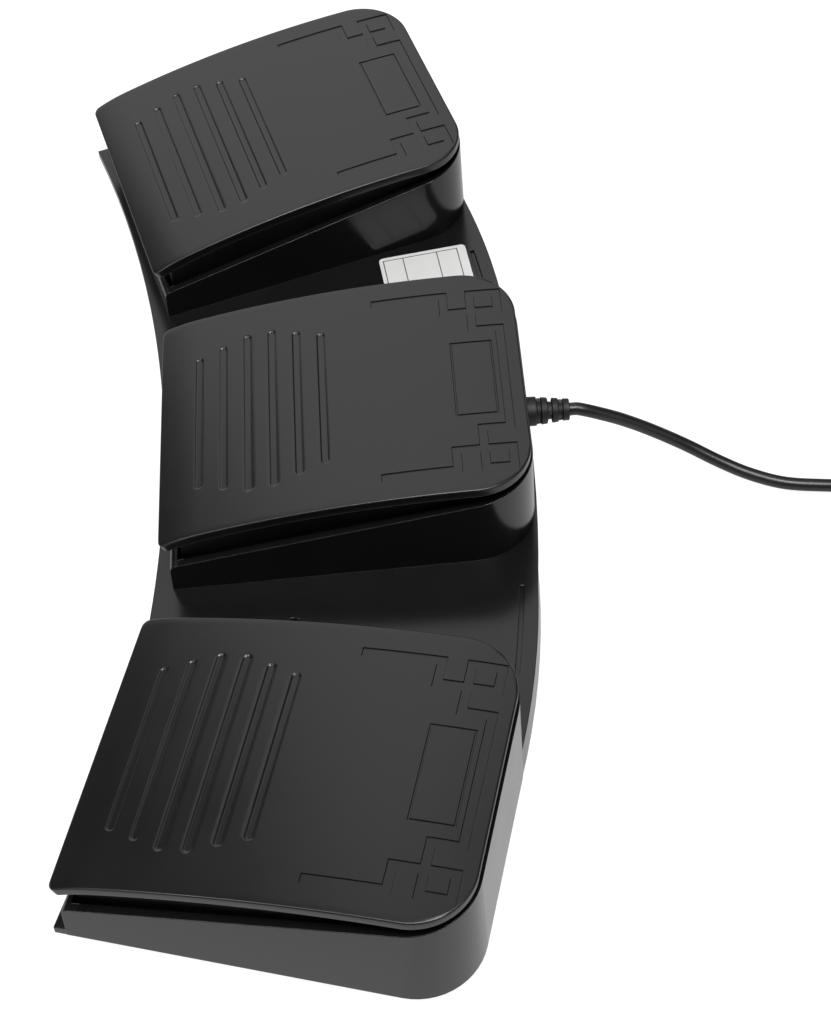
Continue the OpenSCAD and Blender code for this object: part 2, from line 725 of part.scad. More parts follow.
// Treadle: curved plate with rolled lip, skirt, hinge eyes, spring seat and switch nose
module plate_outline() {
    translate([-plate_half, front_corner_r - lip_over])
        square([plate_w, plate_l - plate_corner_r - front_corner_r + lip_over]);
    translate([-plate_half + front_corner_r, -lip_over])
        square([plate_w - 2 * front_corner_r, plate_l / 2]);
    translate([-plate_half + plate_corner_r, plate_l / 2])
        square([plate_w - 2 * plate_corner_r, plate_l / 2]);
    for (x = [-1, 1]) {
        translate([x * (plate_half - front_corner_r), front_corner_r - lip_over]) circle(front_corner_r);
        translate([x * (plate_half - plate_corner_r), plate_l - plate_corner_r]) circle(plate_corner_r);
    }
}
module fret_bar(v0, v1, s0, s1) translate([v0, s0]) square([v1 - v0, s1 - s0]);
module fret() {
    w = fret_w;
    line_v = plate_half - fret_in;
    mid_v = line_v - fret_step;
    in_v = mid_v - fret_gap;
    rear_s = plate_l - fret_rear;
    ring_s = rear_s - fret_ring;
    drop_s = ring_s - fret_ring + w;
    start_s = drop_s - fret_run;
    for (x = [0, 1]) mirror([x, 0]) {
        fret_bar(line_v - w, line_v, start_s, drop_s + w);
        fret_bar(mid_v - w, line_v, drop_s, drop_s + w);
        fret_bar(mid_v - w, mid_v, drop_s, rear_s);
        fret_bar(line_v - w, line_v, ring_s, rear_s);
        fret_bar(in_v - w, line_v, ring_s, ring_s + w);
        fret_bar(mid_v - w, line_v, rear_s - w, rear_s);
        fret_bar(in_v - w, in_v, ring_s, rear_s);
    }
    fret_bar(-in_v, in_v, rear_s - w, rear_s);
}
module panel() {
    panel_s1 = plate_l - panel_rear;
    panel_s0 = panel_s1 - panel_l;
    difference() {
        fret_bar(-panel_v, panel_v, panel_s0, panel_s1);
        fret_bar(-panel_v + panel_line, panel_v - panel_line, panel_s0 + panel_line, panel_s1 - panel_line);
    }
}
module grip() for (k = [0 : grip_n - 1]) {
    s = grip_front + k * grip_pitch;
    half = grip_half - grip_taper * abs(k - (grip_n - 1) / 2);
    translate([-half, s - grip_w / 2]) square([2 * half, grip_w]);
    for (x = [-1, 1]) translate([x * half, s]) circle(grip_w / 2);
}
module ring_sector(r_in, r_out, a0, a1) {
    far = 2 * r_out;
    intersection() {
        difference() {
            circle(r_out, $fn = big_fn);
            circle(r_in, $fn = big_fn);
        }
        polygon([[0, 0], [far * cos(a0), far * sin(a0)], [far * cos(a1), far * sin(a1)]]);
    }
}
module plate_profile() translate([plate_l, curve_cz]) rotate(lip_a) {
    ring_sector(plate_curve_r - plate_t, plate_curve_r, -plate_sweep, 0);
    translate([plate_curve_r - lip_r, 0]) ring_sector(lip_r - plate_t, lip_r, 0, lip_bend);
}
module plate() intersection() {
    rotate([90, 0, 90]) linear_extrude(plate_w + 2 * cut, center = true) plate_profile();
    translate([0, 0, -cut]) linear_extrude(2 * plate_rear_z) plate_outline();
}
module under_plate() axle(plate_l, curve_cz)
    cylinder(h = 2 * plate_w, r = plate_curve_r - plate_t / 2, center = true, $fn = big_fn);
module pedal() color("#2b2b2d") difference() {
    union() {
        plate();
        intersection() {
            under_plate();
            union() {
                mirrored() {
                    axle(0, 0) translate([0, 0, skirt_v - skirt_t]) linear_extrude(skirt_t)
                        polygon([[skirt_s0, skirt_z0],
                            [skirt_s1, skirt_z0 + skirt_rise * (skirt_s1 - skirt_s0)],
                            [skirt_s1, 2 * plate_rear_z], [skirt_s0, 2 * plate_rear_z]]);
                    block(eye_v, eye_v + eye_t, hinge_s - eye_r, hinge_s + eye_r, hinge_z,
                        2 * plate_rear_z);
                    block(rib_v, rib_v + rib_t, skirt_s0, hinge_s, plate_top(skirt_s0) - plate_t - rib_h,
                        2 * plate_rear_z);
                    block(stop_v - stop_d / 2, stop_v + stop_d / 2,
                        stop_at - stop_rib_t / 2, stop_at + stop_rib_t / 2,
                        floor_z + stop_h + drop(stop_at) + play, 2 * plate_rear_z);
                }
                block(-skirt_v, skirt_v, skirt_s0, skirt_s0 + skirt_t, skirt_z0,
                    2 * plate_rear_z);
                translate([0, spring_at, spring_top]) cylinder(h = plate_rear_z, r = seat_r);
                block(-nose_w / 2, nose_w / 2, switch_s - nose_r, switch_s + nose_r, nose_z,
                    2 * plate_rear_z);
            }
        }
        mirrored() axle(hinge_s, hinge_z) translate([0, 0, eye_v]) cylinder(h = eye_t, r = eye_r);
        translate([0, spring_at, spring_top - spigot_l]) cylinder(h = spigot_l + cut, r = spigot_r);
        axle(switch_s, nose_z) cylinder(h = nose_w, r = nose_r, center = true);
    }
    mirrored() axle(hinge_s, hinge_z) translate([0, 0, eye_v - cut])
        cylinder(h = eye_t + 2 * cut, r = pin_r + pin_play);
    rib_scoop();
    intersection() {
        axle(plate_l, curve_cz) sheet_arc(plate_curve_r - sunk_d, plate_curve_r + cut, plate_w, 90, lip_a);
        translate([0, 0, plate_rear_z / 2]) linear_extrude(plate_rear_z) { fret(); panel(); grip(); }
    }
}
// Leaves the lengthwise ribs a steady depth under the curved plate
module rib_scoop() mirrored() translate([rib_v + rib_t / 2, 0, 0])
    intersection() {
        axle(plate_l, curve_cz)
            cylinder(h = rib_t + play, r = plate_curve_r - plate_t - rib_h, center = true, $fn = big_fn);
        block(-plate_half, plate_half, skirt_s0 + skirt_t, hinge_s + cut, 0, 2 * plate_rear_z);
    }
module left_pedal() at(-1) pedal();
module centre_pedal() at(0) pedal();
module right_pedal() at(1) pedal();

module hinge_pins() color("#b9bcc0") mirrored() axle(hinge_s, hinge_z) {
    translate([0, 0, bracket_in]) cylinder(h = pin_end_v - bracket_in, r = pin_r);
    translate([0, 0, bracket_in - pin_head_t]) cylinder(h = pin_head_t, r = pin_head_r);
}
module left_hinge_pins() at(-1) hinge_pins();
module centre_hinge_pins() at(0) hinge_pins();
module right_hinge_pins() at(1) hinge_pins();

// Compression spring
spring_path = [for (k = [0 : floor(spring_turns * spring_steps)]) let (a = 360 * k / spring_steps)
    [spring_r * cos(a), spring_at + spring_r * sin(a),
        cover_z + spring_wire / 2 + (spring_l - spring_wire) * k / floor(spring_turns * spring_steps)]];
module spring() color("#c3c6ca") {
    echo(spring_gap = self_gap(spring_path, 7) - spring_wire);
    tube(spring_path, spring_wire / 2, 6);
}
module left_spring() at(-1) spring();
module centre_spring() at(0) spring();
module right_spring() at(1) spring();

module stop_pads() color("#333335") for (i = [-1 : 1], x = [-1, 1]) at(i)
    translate([x * stop_v, stop_at, floor_z]) cylinder(h = stop_h, r = stop_d / 2);

// Snap-action switches
module switch_body() color("#3a3d42") difference() {
    block(-switch_l / 2, switch_l / 2, switch_s - switch_t / 2, switch_s + switch_t / 2,
        board_top, switch_z);
    translate([0, switch_s, switch_z - plunger_bore])
        cylinder(h = plunger_bore + cut, r = plunger_r + pin_play);
}
module switch_plunger() color("#b4302b") translate([0, switch_s, switch_z - plunger_in])
    cylinder(h = plunger_in + plunger_out, r = plunger_r);
module switch_terminals() color("#c9b878") for (k = [-1 : 1])
    translate([k * terminal_pitch, switch_s, board_z - terminal_low])
        cylinder(h = board_t + terminal_low, r = terminal_r);
module left_switch_body() at(-1) switch_body();
module centre_switch_body() at(0) switch_body();
module right_switch_body() at(1) switch_body();
module left_switch_plunger() at(-1) switch_plunger();
module centre_switch_plunger() at(0) switch_plunger();
module right_switch_plunger() at(1) switch_plunger();
module left_switch_terminals() at(-1) switch_terminals();
module centre_switch_terminals() at(0) switch_terminals();
module right_switch_terminals() at(1) switch_terminals();

// Circuit boards
module terminal_holes() for (k = [-1 : 1]) translate([k * terminal_pitch, switch_s, board_z - cut])
    cylinder(h = board_t + 2 * cut, r = terminal_r + terminal_gap);
module main_board() color("#1f5a38") at(0) difference() {
    block(-board_w / 2, board_w / 2, board_s0, board_s1, board_z, board_top);
    for (p = board_holes) translate([p.x, p.y, board_z - cut])
        cylinder(h = board_t + 2 * cut, r = board_screw_d / 2 + terminal_gap);
    terminal_holes();
}
module side_board() color("#1f5a38") difference() {
    block(-side_board_w / 2, side_board_w / 2, side_s0, side_s0 + side_board_l, board_z, board_top);
    for (p = side_holes) translate([p.x, p.y, board_z - cut])
        cylinder(h = board_t + 2 * cut, r = board_screw_d / 2 + terminal_gap);
    terminal_holes();
}
module left_board() at(-1) mirror([1, 0, 0]) side_board();
module right_board() at(1) side_board();
module board_screw() translate([0, 0, board_top]) {
    translate([0, 0, -board_screw_l + play]) cylinder(h = board_screw_l - play, r = board_screw_d / 2);
    difference() {
        cylinder(h = pan_h, r = pan_r);
        for (a = [0, 90]) rotate(a) translate([0, 0, pan_h])
            cube([pan_r * 1.2, pan_r / 4, pan_h], center = true);
    }
}
module board_screws() color("#a4a7ab") {
    for (p = board_holes) at(0) translate([p.x, p.y, 0]) board_screw();
    for (i = [-1, 1], p = side_holes) at(i) translate([i * p.x, p.y, 0]) board_screw();
}
module controller_chip() at(0) {
    color("#232325") block(chip_at.x - chip_w / 2, chip_at.x + chip_w / 2, chip_at.y - chip_w / 3,
        chip_at.y + chip_w / 3, board_top + chip_up, board_top + chip_up + chip_t);
    color("#c9ccd0") for (k = [-3 : 3], y = [-1, 1])
        block(chip_at.x + k * chip_w / 8 - chip_w / 50, chip_at.x + k * chip_w / 8 + chip_w / 50,
            chip_at.y + (y > 0 ? chip_w / 3 : -chip_w / 2), chip_at.y + (y > 0 ? chip_w / 2 : -chip_w / 3),
            board_top, board_top + chip_t / 2);
}
module crystal() color("#c2c5c9") at(0) translate([crystal_at.x, crystal_at.y, board_top]) {
    translate([-crystal_l / 2, -crystal_w / 2, 0]) cube([crystal_l, crystal_w, crystal_h]);
    for (x = [-1, 1]) translate([x * crystal_l / 2, 0, 0]) cylinder(h = crystal_h, r = crystal_w / 2);
}
module board_parts() at(0) {
    color("#c8a24a") for (k = [0 : 4]) translate([chip_part_v + k * chip_part_step, chip_at.y, board_top])
        cube([chip_part_w, chip_part_l, chip_part_h]);
    color("#30343c") translate([can_at.x, can_at.y, board_top]) cylinder(h = can_h, r = can_r);
}
module cable_connector() color("#e6e1d2") at(0)
    block(cable_conn.x - cable_conn_w / 2, cable_conn.x + cable_conn_w / 2, cable_conn.y - cable_conn_t / 2,
        cable_conn.y + cable_conn_t / 2, board_top, board_top + cable_conn_h);
module lead_connector(v, s) block(v - conn_w / 2, v + conn_w / 2, s - conn_t / 2, s + conn_t / 2, board_top,
    board_top + conn_h);
module lead_connectors() color("#e6e1d2") {
    for (x = [-1, 1]) at(0) lead_connector(x * conn_v, conn_s);
    for (i = [-1, 1]) at(i) lead_connector(-i * side_conn_v, side_conn_s);
}

// Inner leads run from each side board under the deck to the main board
function lead_path(i) = concat(
    [for (d = [0, 2, 4]) to_world(i, [-i * (side_conn_v + conn_w / 2 + d), side_conn_s, lead_top_z])],
    [for (q = [[-2, lead_arch[0]], [-1, lead_arch[1]], [0, 0], [1, 0], [2, 0]])
        to_world(i, [-i * lead_v(q[0]), side_notch_s, lead_z + q[1]])],
    [for (q = [[2, 0], [1, 0], [0, 0], [-0.8, lead_arch[2]]])
        to_world(0, [i * lead_v(q[0]), middle_notch_s, lead_z + q[1]])],
    [to_world(0, [i * lead_v(-1.4), conn_s + notch_back / 2, lead_top_z - lead_arch[3]])],
    [for (d = [4, 2, 0]) to_world(0, [i * (conn_v + conn_w / 2 + d), conn_s, lead_top_z])]);
module left_lead() color("#3b3b3f") tube(smooth(lead_path(-1), 3), lead_d / 2, 8);
module right_lead() color("#3b3b3f") tube(smooth(lead_path(1), 3), lead_d / 2, 8);

module inner_cable() color("#1d1d1f") tube(smooth([for (q = [
    [0, exit_in_s - flange_t, exit_z], [0, exit_in_s - flange_t - 2, exit_z],
    [0, exit_in_s - flange_t - 4, exit_z],
    [4, cable_conn.y + 11, exit_z + 0.6], [10, cable_conn.y + 5.5, exit_z + 0.4],
    [14, cable_conn.y + 1.5, exit_z - 2.2],
    [cable_conn.x, cable_conn.y, board_top + cable_conn_h + 4.5],
    [cable_conn.x, cable_conn.y, board_top + cable_conn_h + 2.2],
    [cable_conn.x, cable_conn.y, board_top + cable_conn_h]]) to_world(0, q)], 3), cable_r, 8);

// Ribbed strain relief turned about the cable's axis
module strain_relief() color("#232324") at(0) translate([0, 0, exit_z]) rotate([-90, 0, 0]) {
    translate([0, 0, exit_in_s - flange_t]) cylinder(h = flange_t, r = flange_r);
    translate([0, 0, exit_in_s - cut / 4]) cylinder(h = exit_out_s - exit_in_s + cut / 2, r = neck_r);
    translate([0, 0, exit_out_s]) cylinder(h = relief_root_l, r = relief_d / 2);
    translate([0, 0, exit_out_s]) cylinder(h = relief_l, r = relief_core_r);
    for (k = [0 : rib_n - 1])
        translate([0, 0, exit_out_s + relief_root_l + relief_rib_gap + k * (relief_rib_l + relief_rib_gap)])
            cylinder(h = relief_rib_l, r1 = relief_d / 2 - relief_rib_in - relief_taper * k,
                r2 = relief_d / 2 - relief_rib_in - relief_taper * (k + 0.5));
}

module usb_cable() color("#1d1d1f") tube(smooth(concat([for (k = [0 : 1])
    [0, relief_end - y_mid + k * cable_r, exit_z]], cable_route), 3), cable_r, 8);

// Coil: spirals in and out by turns, one layer higher after each turn-round
function coil_r(q) = let (layer = min(floor(q / layer_turns), coil_layers - 1), t = q - layer * layer_turns)
    layer % 2 == 0 ? coil_out - coil_pitch * t : coil_in + coil_pitch * t;
function coil_up(q) = coil_pitch * [for (k = [1 : coil_layers - 1]) 1] *
    [for (k = [1 : coil_layers - 1]) max(0, min(1, (q - k * layer_turns + 0.25) / 0.5))];
coil_points = [for (a = [0 : coil_step : 360 * coil_turns]) let (q = a / 360, r = coil_r(q))
    [coil_c.x - r * cos(a), coil_c.y + r * sin(a), coil_z + coil_up(q)]];
coil_end = coil_points[len(coil_points) - 1];
coil_path = concat([for (k = [0 : 2]) cable_end + [0, k * coil_lead / 3, 0]], coil_points,
    smooth([for (q = tail_route) coil_end + q], 2));
function path_length(p) = [for (i = 0, s = 0; i < len(p); i = i + 1,
    s = s + (i < len(p) ? norm(p[i] - p[i - 1]) : 0)) s];
function self_gap(p, away) = min([for (i = [0 : len(p) - 1 - away], j = [i + away : len(p) - 1])
    norm(p[i] - p[j])]);
module usb_cable_coil() color("#1d1d1f") {
    echo(coil_gap = self_gap(coil_path, 13) - cable_d);
    echo(coil_length = path_length(coil_path)[len(coil_path) - 1]);
    tube(coil_path, cable_r, 6);
}
module coil_tie() color("#2f2f31") translate([coil_c.x, coil_c.y, 0]) rotate(tie_turn) {
    r0 = coil_in - cable_r - coil_pitch / 4 - tie_gap;
    r1 = coil_out + cable_r + coil_pitch / 4 + tie_gap;
    z1 = coil_z + coil_pitch * (coil_layers - 1) + cable_r + tie_gap;
    rotate([90, 0, 0]) translate([0, 0, -tie_w / 2]) linear_extrude(tie_w) difference() {
        translate([r0 - tie_t, 0]) square([r1 - r0 + 2 * tie_t, z1 + tie_t]);
        translate([r0, tie_t]) square([r1 - r0, z1 - tie_t]);
    }
}

// USB plug lying beside the coil
plug_at = coil_end + tail_route[len(tail_route) - 1];
module at_plug() translate(plug_at) children();
module plug_body() color("#1a1a1b") at_plug() {
    rotate([0, 90, 0]) cylinder(h = plug_tail_l, r1 = cable_r + 0.7, r2 = plug_h / 2 - 0.4);
    translate([plug_tail_l, 0, -plug_h / 2]) linear_extrude(plug_h) {
        translate([plug_round, -plug_w / 2]) square([plug_l - plug_round, plug_w]);
        translate([0, -plug_w / 2 + plug_round]) square([plug_l, plug_w - 2 * plug_round]);
        for (y = [-1, 1]) translate([plug_round, y * (plug_w / 2 - plug_round)]) circle(plug_round);
    }
}
module plug_shell() color("#c5c8cc") at_plug()
    translate([plug_tail_l + plug_l, -usb_w / 2, -usb_h / 2]) difference() {
        cube([usb_l, usb_w, usb_h]);
        translate([-cut, usb_t, usb_t]) cube([usb_l + 2 * cut, usb_w - 2 * usb_t, usb_h - 2 * usb_t]);
        for (y = [usb_w / 4, usb_w * 3 / 4 - usb_w / 6])
            translate([usb_l * 0.45, y, usb_h - 2 * usb_t]) cube([usb_l / 5, usb_w / 6, usb_h]);
    }
module plug_insulator() color("#e9e9e7") at_plug()
    translate([plug_tail_l + plug_l, -usb_w / 2 + usb_t, -usb_h / 2 + usb_t])
        cube([usb_l - 2 * usb_t, usb_w - 2 * usb_t, usb_h / 2 - usb_t]);
module plug_contacts() color("#c8a24a") at_plug() for (k = [-1.5 : 1 : 1.5])
    translate([plug_tail_l + plug_l + contact_from, k * contact_pitch - contact_w / 2, 0])
        cube([usb_l - 3 * contact_from, contact_w, contact_t]);

module rating_label() color("#dcdcda") intersection() {
    difference() {
        deck_ring(deck_r0, deck_r1, -deck_half_a, deck_half_a, base_z, -label_t);
        deck_ring(deck_r0 - cut, deck_r1 + cut, -deck_half_a - cut, deck_half_a + cut, base_z - cut, 0);
    }
    translate([label_at.x, label_at.y - y_mid, 0]) rotate(label_turn) linear_extrude(plate_rear_z) {
        for (a = [0, 1]) square([label_w - (a == 0 ? 2 * label_round : 0),
            label_l - (a == 1 ? 2 * label_round : 0)], center = true);
        for (x = [-1, 1], y = [-1, 1])
            translate([x * (label_w / 2 - label_round), y * (label_l / 2 - label_round)])
                circle(label_round);
    }
}

upper_shell();
bottom_cover();
rubber_feet();
cover_screws();
left_pedal();
centre_pedal();
right_pedal();
left_hinge_pins();
centre_hinge_pins();
right_hinge_pins();
left_spring();
centre_spring();
right_spring();
stop_pads();
left_switch_body();
centre_switch_body();
right_switch_body();
left_switch_plunger();
centre_switch_plunger();
right_switch_plunger();
left_switch_terminals();
centre_switch_terminals();
right_switch_terminals();
main_board();
left_board();
right_board();
board_screws();
controller_chip();
crystal();
board_parts();
cable_connector();
lead_connectors();
left_lead();
right_lead();
inner_cable();
strain_relief();
usb_cable();
usb_cable_coil();
coil_tie();
plug_body();
plug_shell();
plug_insulator();
plug_contacts();
rating_label();
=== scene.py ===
import math

import bpy
import numpy as np
from mathutils import Matrix


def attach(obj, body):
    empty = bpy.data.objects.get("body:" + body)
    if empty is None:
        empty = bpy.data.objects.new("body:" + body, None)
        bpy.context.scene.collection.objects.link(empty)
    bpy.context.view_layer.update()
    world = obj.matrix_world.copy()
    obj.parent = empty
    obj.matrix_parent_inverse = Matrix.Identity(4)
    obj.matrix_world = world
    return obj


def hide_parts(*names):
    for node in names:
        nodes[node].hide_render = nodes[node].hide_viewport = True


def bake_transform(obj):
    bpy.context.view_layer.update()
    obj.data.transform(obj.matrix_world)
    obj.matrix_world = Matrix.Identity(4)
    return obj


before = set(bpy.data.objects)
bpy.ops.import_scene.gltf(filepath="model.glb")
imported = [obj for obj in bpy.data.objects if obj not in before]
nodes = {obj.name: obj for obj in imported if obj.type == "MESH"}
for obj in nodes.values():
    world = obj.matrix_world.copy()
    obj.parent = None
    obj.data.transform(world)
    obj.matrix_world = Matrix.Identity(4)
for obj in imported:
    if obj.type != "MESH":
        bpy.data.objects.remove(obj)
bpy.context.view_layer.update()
mm = 0.001
fanSides = ((-1, "left"), (0, "centre"), (1, "right"))
print("frame loaded:", len(nodes), "nodes")


# sRGB hex to linear rgba
def linear(code):
    c = np.array([int(code[k:k + 2], 16) for k in (1, 3, 5)]) / 255
    c = np.where(c <= 0.04045, c / 12.92, ((c + 0.055) / 1.055) ** 2.4)
    return (*map(float, c), 1.0)


# adds one node, sets its fields, and fills its sockets with values or with (node, output) links
def addNode(tree, kind, fields=None, sockets=None):
    node = tree.nodes.new(kind)
    for key, value in (fields or {}).items():
        setattr(node, key, value)
    for key, value in (sockets or {}).items():
        if isinstance(value, tuple) and hasattr(value[0], "outputs"):
            tree.links.new(value[0].outputs[value[1]], node.inputs[key])
        else:
            node.inputs[key].default_value = value
    return node


# points in mm and blocks of faces as arrays; faces are smooth, edges past the sharp angle stay crisp
def meshPiece(name, points, blocks, material, sharp=35.0, uv=None):
    mesh = bpy.data.meshes.new(name)
    faces = sum((np.asarray(b).tolist() for b in blocks), [])
    mesh.from_pydata((np.asarray(points) * mm).tolist(), [], faces)
    mesh.polygons.foreach_set("use_smooth", np.ones(len(mesh.polygons), bool))
    if uv is not None:
        layer = mesh.uv_layers.new(name="flat")
        corner = np.empty(len(mesh.loops), np.int32)
        mesh.loops.foreach_get("vertex_index", corner)
        layer.data.foreach_set("uv", np.asarray(uv, np.float32)[corner].ravel())
    mesh.set_sharp_from_angle(angle=math.radians(sharp))
    mesh.materials.append(material)
    mesh.update()
    piece = bpy.data.objects.new(name, mesh)
    bpy.context.scene.collection.objects.link(piece)
    return piece


# faces of an n by m grid of points; around joins its last column to its first
def gridFaces(n, m, around=False, start=0):
    i, j = np.meshgrid(np.arange(n - 1), np.arange(m if around else m - 1), indexing="ij")
    k = (j + 1) % m
    return start + np.stack([i * m + j, i * m + k, (i + 1) * m + k, (i + 1) * m + j], -1).reshape(-1, 4)


# camera: a turn about the object, a height angle, a roll and a distance from the target
cameraView = dict(azimuth=88.37, elevation=51.65, roll=-2.18, distance=0.60425,
                  target=(0.02997, 0.03296, 0.0165), lens=71.2, sensor=36.0, clip=(0.01, 50.0))


def makeCamera(c):
    az, el, ro = (math.radians(c[k]) for k in ("azimuth", "elevation", "roll"))
    back = np.array([math.sin(az) * math.cos(el), -math.cos(az) * math.cos(el), math.sin(el)])
    right = np.cross(-back, [0, 0, 1])
    right /= np.linalg.norm(right)
    up = np.cross(right, -back)
    place = np.eye(4)
    place[:3, 0] = math.cos(ro) * right + math.sin(ro) * up
    place[:3, 1] = math.cos(ro) * up - math.sin(ro) * right
    place[:3, 2] = back
    place[:3, 3] = np.array(c["target"]) + back * c["distance"]
    data = bpy.data.cameras.new("photoCamera")
    data.lens, data.sensor_width = c["lens"], c["sensor"]
    data.clip_start, data.clip_end = c["clip"]
    cam = bpy.data.objects.new("photoCamera", data)
    bpy.context.scene.collection.objects.link(cam)
    cam.matrix_world = Matrix(place.tolist())
    bpy.context.scene.camera = cam


makeCamera(cameraView)
print("camera set")


# moulded plastic or rubber: flow marks in the colour, grain in the bump, slow change in the roughness;
# outer edges are rounded in the shading, inner corners stay sharp; flow, grain and edge are in mm
def mouldedMaterial(name, light, dark, rough, flow, grain, bump, edge=0.0, ior=1.5):
    material = bpy.data.materials.new(name)
    material.use_nodes = True
    tree = material.node_tree
    shader = tree.nodes["Principled BSDF"]
    shader.inputs["IOR"].default_value = ior
    place = addNode(tree, "ShaderNodeTexCoord")
    marks = addNode(tree, "ShaderNodeTexNoise", None,
                    {"Vector": (place, "Object"), "Scale": 1 / (flow * mm), "Detail": 4.0})
    tint = addNode(tree, "ShaderNodeMix", {"data_type": "RGBA"},
                   {0: (marks, "Fac"), 6: linear(dark), 7: linear(light)})
    sheen = addNode(tree, "ShaderNodeMapRange", None,
                    {"Value": (marks, "Fac"), "From Min": 0.25, "From Max": 0.75,
                     "To Min": rough[0], "To Max": rough[1]})
    fine = addNode(tree, "ShaderNodeTexNoise", None,
                   {"Vector": (place, "Object"), "Scale": 1 / (grain * mm), "Detail": 2.0})
    relief = addNode(tree, "ShaderNodeBump", None,
                     {"Height": (fine, "Fac"), "Strength": bump, "Distance": grain * mm})
    if edge:
        rounded = addNode(tree, "ShaderNodeBevel", {"samples": 6}, {"Radius": edge * mm})
        clear = addNode(tree, "ShaderNodeAmbientOcclusion", {"samples": 6, "only_local": True},
                        {"Distance": 3 * edge * mm})
        outer = addNode(tree, "ShaderNodeMapRange", None,
                        {"Value": (clear, "AO"), "From Min": 0.75, "From Max": 0.95})
        faces = addNode(tree, "ShaderNodeNewGeometry")
        turned = addNode(tree, "ShaderNodeMix", {"data_type": "VECTOR"},
                         {0: (outer, "Result"), 4: (faces, "Normal"), 5: (rounded, "Normal")})
        tree.links.new(turned.outputs[1], relief.inputs["Normal"])
    tree.links.new(tint.outputs[2], shader.inputs["Base Color"])
    tree.links.new(sheen.outputs["Result"], shader.inputs["Roughness"])
    tree.links.new(relief.outputs["Normal"], shader.inputs["Normal"])
    return material


# metal: drawn or turned marks as a stretched noise in roughness and bump; marks and edge are in mm
def metalMaterial(name, light, dark, rough, marks, stretch, edge=0.1):
    material = bpy.data.materials.new(name)
    material.use_nodes = True
    tree = material.node_tree
    shader = tree.nodes["Principled BSDF"]
    shader.inputs["Metallic"].default_value = 1.0
    place = addNode(tree, "ShaderNodeTexCoord")
    along = addNode(tree, "ShaderNodeMapping", None, {"Vector": (place, "Object"), "Scale": stretch})
    lines = addNode(tree, "ShaderNodeTexNoise", None,
                    {"Vector": (along, "Vector"), "Scale": 1 / (marks * mm), "Detail": 3.0})
    tint = addNode(tree, "ShaderNodeMix", {"data_type": "RGBA"},
                   {0: (lines, "Fac"), 6: linear(dark), 7: linear(light)})
    sheen = addNode(tree, "ShaderNodeMapRange", None,
                    {"Value": (lines, "Fac"), "To Min": rough[0], "To Max": rough[1]})
    rounded = addNode(tree, "ShaderNodeBevel", {"samples": 4}, {"Radius": edge * mm})
    relief = addNode(tree, "ShaderNodeBump", None,
                     {"Height": (lines, "Fac"), "Strength": 0.05, "Distance": marks * mm,
                      "Normal": (rounded, "Normal")})
    tree.links.new(tint.outputs[2], shader.inputs["Base Color"])
    tree.links.new(sheen.outputs["Result"], shader.inputs["Roughness"])
    tree.links.new(relief.outputs["Normal"], shader.inputs["Normal"])
    return material


# ABS from a polished mould: near mirror gloss with a faint orange peel
glossAbs = mouldedMaterial("gloss moulded ABS", "#151516", "#111112", rough=(0.16, 0.21),
                           flow=18, grain=1.2, bump=0.003, edge=0.4, ior=1.49)
# ABS from a finely etched mould: soft sheen, grain drawn a little coarser than it is so that it shows
satinAbs = mouldedMaterial("satin etched ABS", "#121213", "#0f0f10", rough=(0.28, 0.33),
                           flow=25, grain=0.3, bump=0.04, ior=1.53)
# ABS from a blasted mould: the matt inner faces and the cover
mattAbs = mouldedMaterial("matt moulded ABS", "#111112", "#0c0c0d", rough=(0.5, 0.6),
                          flow=15, grain=0.4, bump=0.12, edge=0.3, ior=1.53)
# soft PVC pulled through a die: even, slightly oily sheen
cablePvc = mouldedMaterial("extruded soft PVC", "#1c1c1d", "#161617", rough=(0.3, 0.4),
                           flow=12, grain=0.5, bump=0.05, ior=1.54)
# soft PVC moulded over the cable: duller than the cable
sleevePvc = mouldedMaterial("moulded soft PVC", "#121213", "#0b0b0c", rough=(0.46, 0.58),
                            flow=3, grain=0.35, bump=0.25, ior=1.54)
# dense rubber of the feet
footRubber = mouldedMaterial("moulded rubber", "#202020", "#161616", rough=(0.65, 0.8),
                             flow=6, grain=0.3, bump=0.2, edge=0.5, ior=1.52)
# softer grey rubber of the stops
stopRubber = mouldedMaterial("soft stop rubber", "#3a3a3b", "#2c2c2d", rough=(0.7, 0.85),
                             flow=5, grain=0.3, bump=0.2, edge=0.3, ior=1.52)
# glass filled plastic of the switch cases
switchCase = mouldedMaterial("glass filled switch case", "#3e4146", "#34373b", rough=(0.45, 0.55),
                             flow=5, grain=0.25, bump=0.15, edge=0.2)
# slick acetal of the plungers
plungerPlastic = mouldedMaterial("red plunger acetal", "#b8332c", "#9c2721", rough=(0.3, 0.38),
                                 flow=4, grain=0.3, bump=0.05, edge=0.2)
# glass epoxy board under a green coating
boardLaminate = mouldedMaterial("coated board laminate", "#24643f", "#1b5232", rough=(0.3, 0.42),
                                flow=3, grain=0.4, bump=0.1, edge=0.1)
# black epoxy moulded round a chip
chipEpoxy = mouldedMaterial("moulded epoxy", "#26262a", "#1c1c1f", rough=(0.5, 0.6),
                            flow=3, grain=0.2, bump=0.15, edge=0.1)
# nylon in its own colour
connectorNylon = mouldedMaterial("natural nylon", "#e8e3d4", "#dcd5c2", rough=(0.4, 0.5),
                                 flow=4, grain=0.3, bump=0.08, edge=0.15)
# soft vinyl over the wire of the tie
tieVinyl = mouldedMaterial("vinyl covered tie", "#2e2e30", "#232325", rough=(0.45, 0.55),
                           flow=5, grain=0.4, bump=0.1, edge=0.3)
# hard white plastic of the plug's tongue
plugWhite = mouldedMaterial("white plug insulator", "#ecece9", "#e0e0dc", rough=(0.35, 0.45),
                            flow=4, grain=0.3, bump=0.05, edge=0.1)
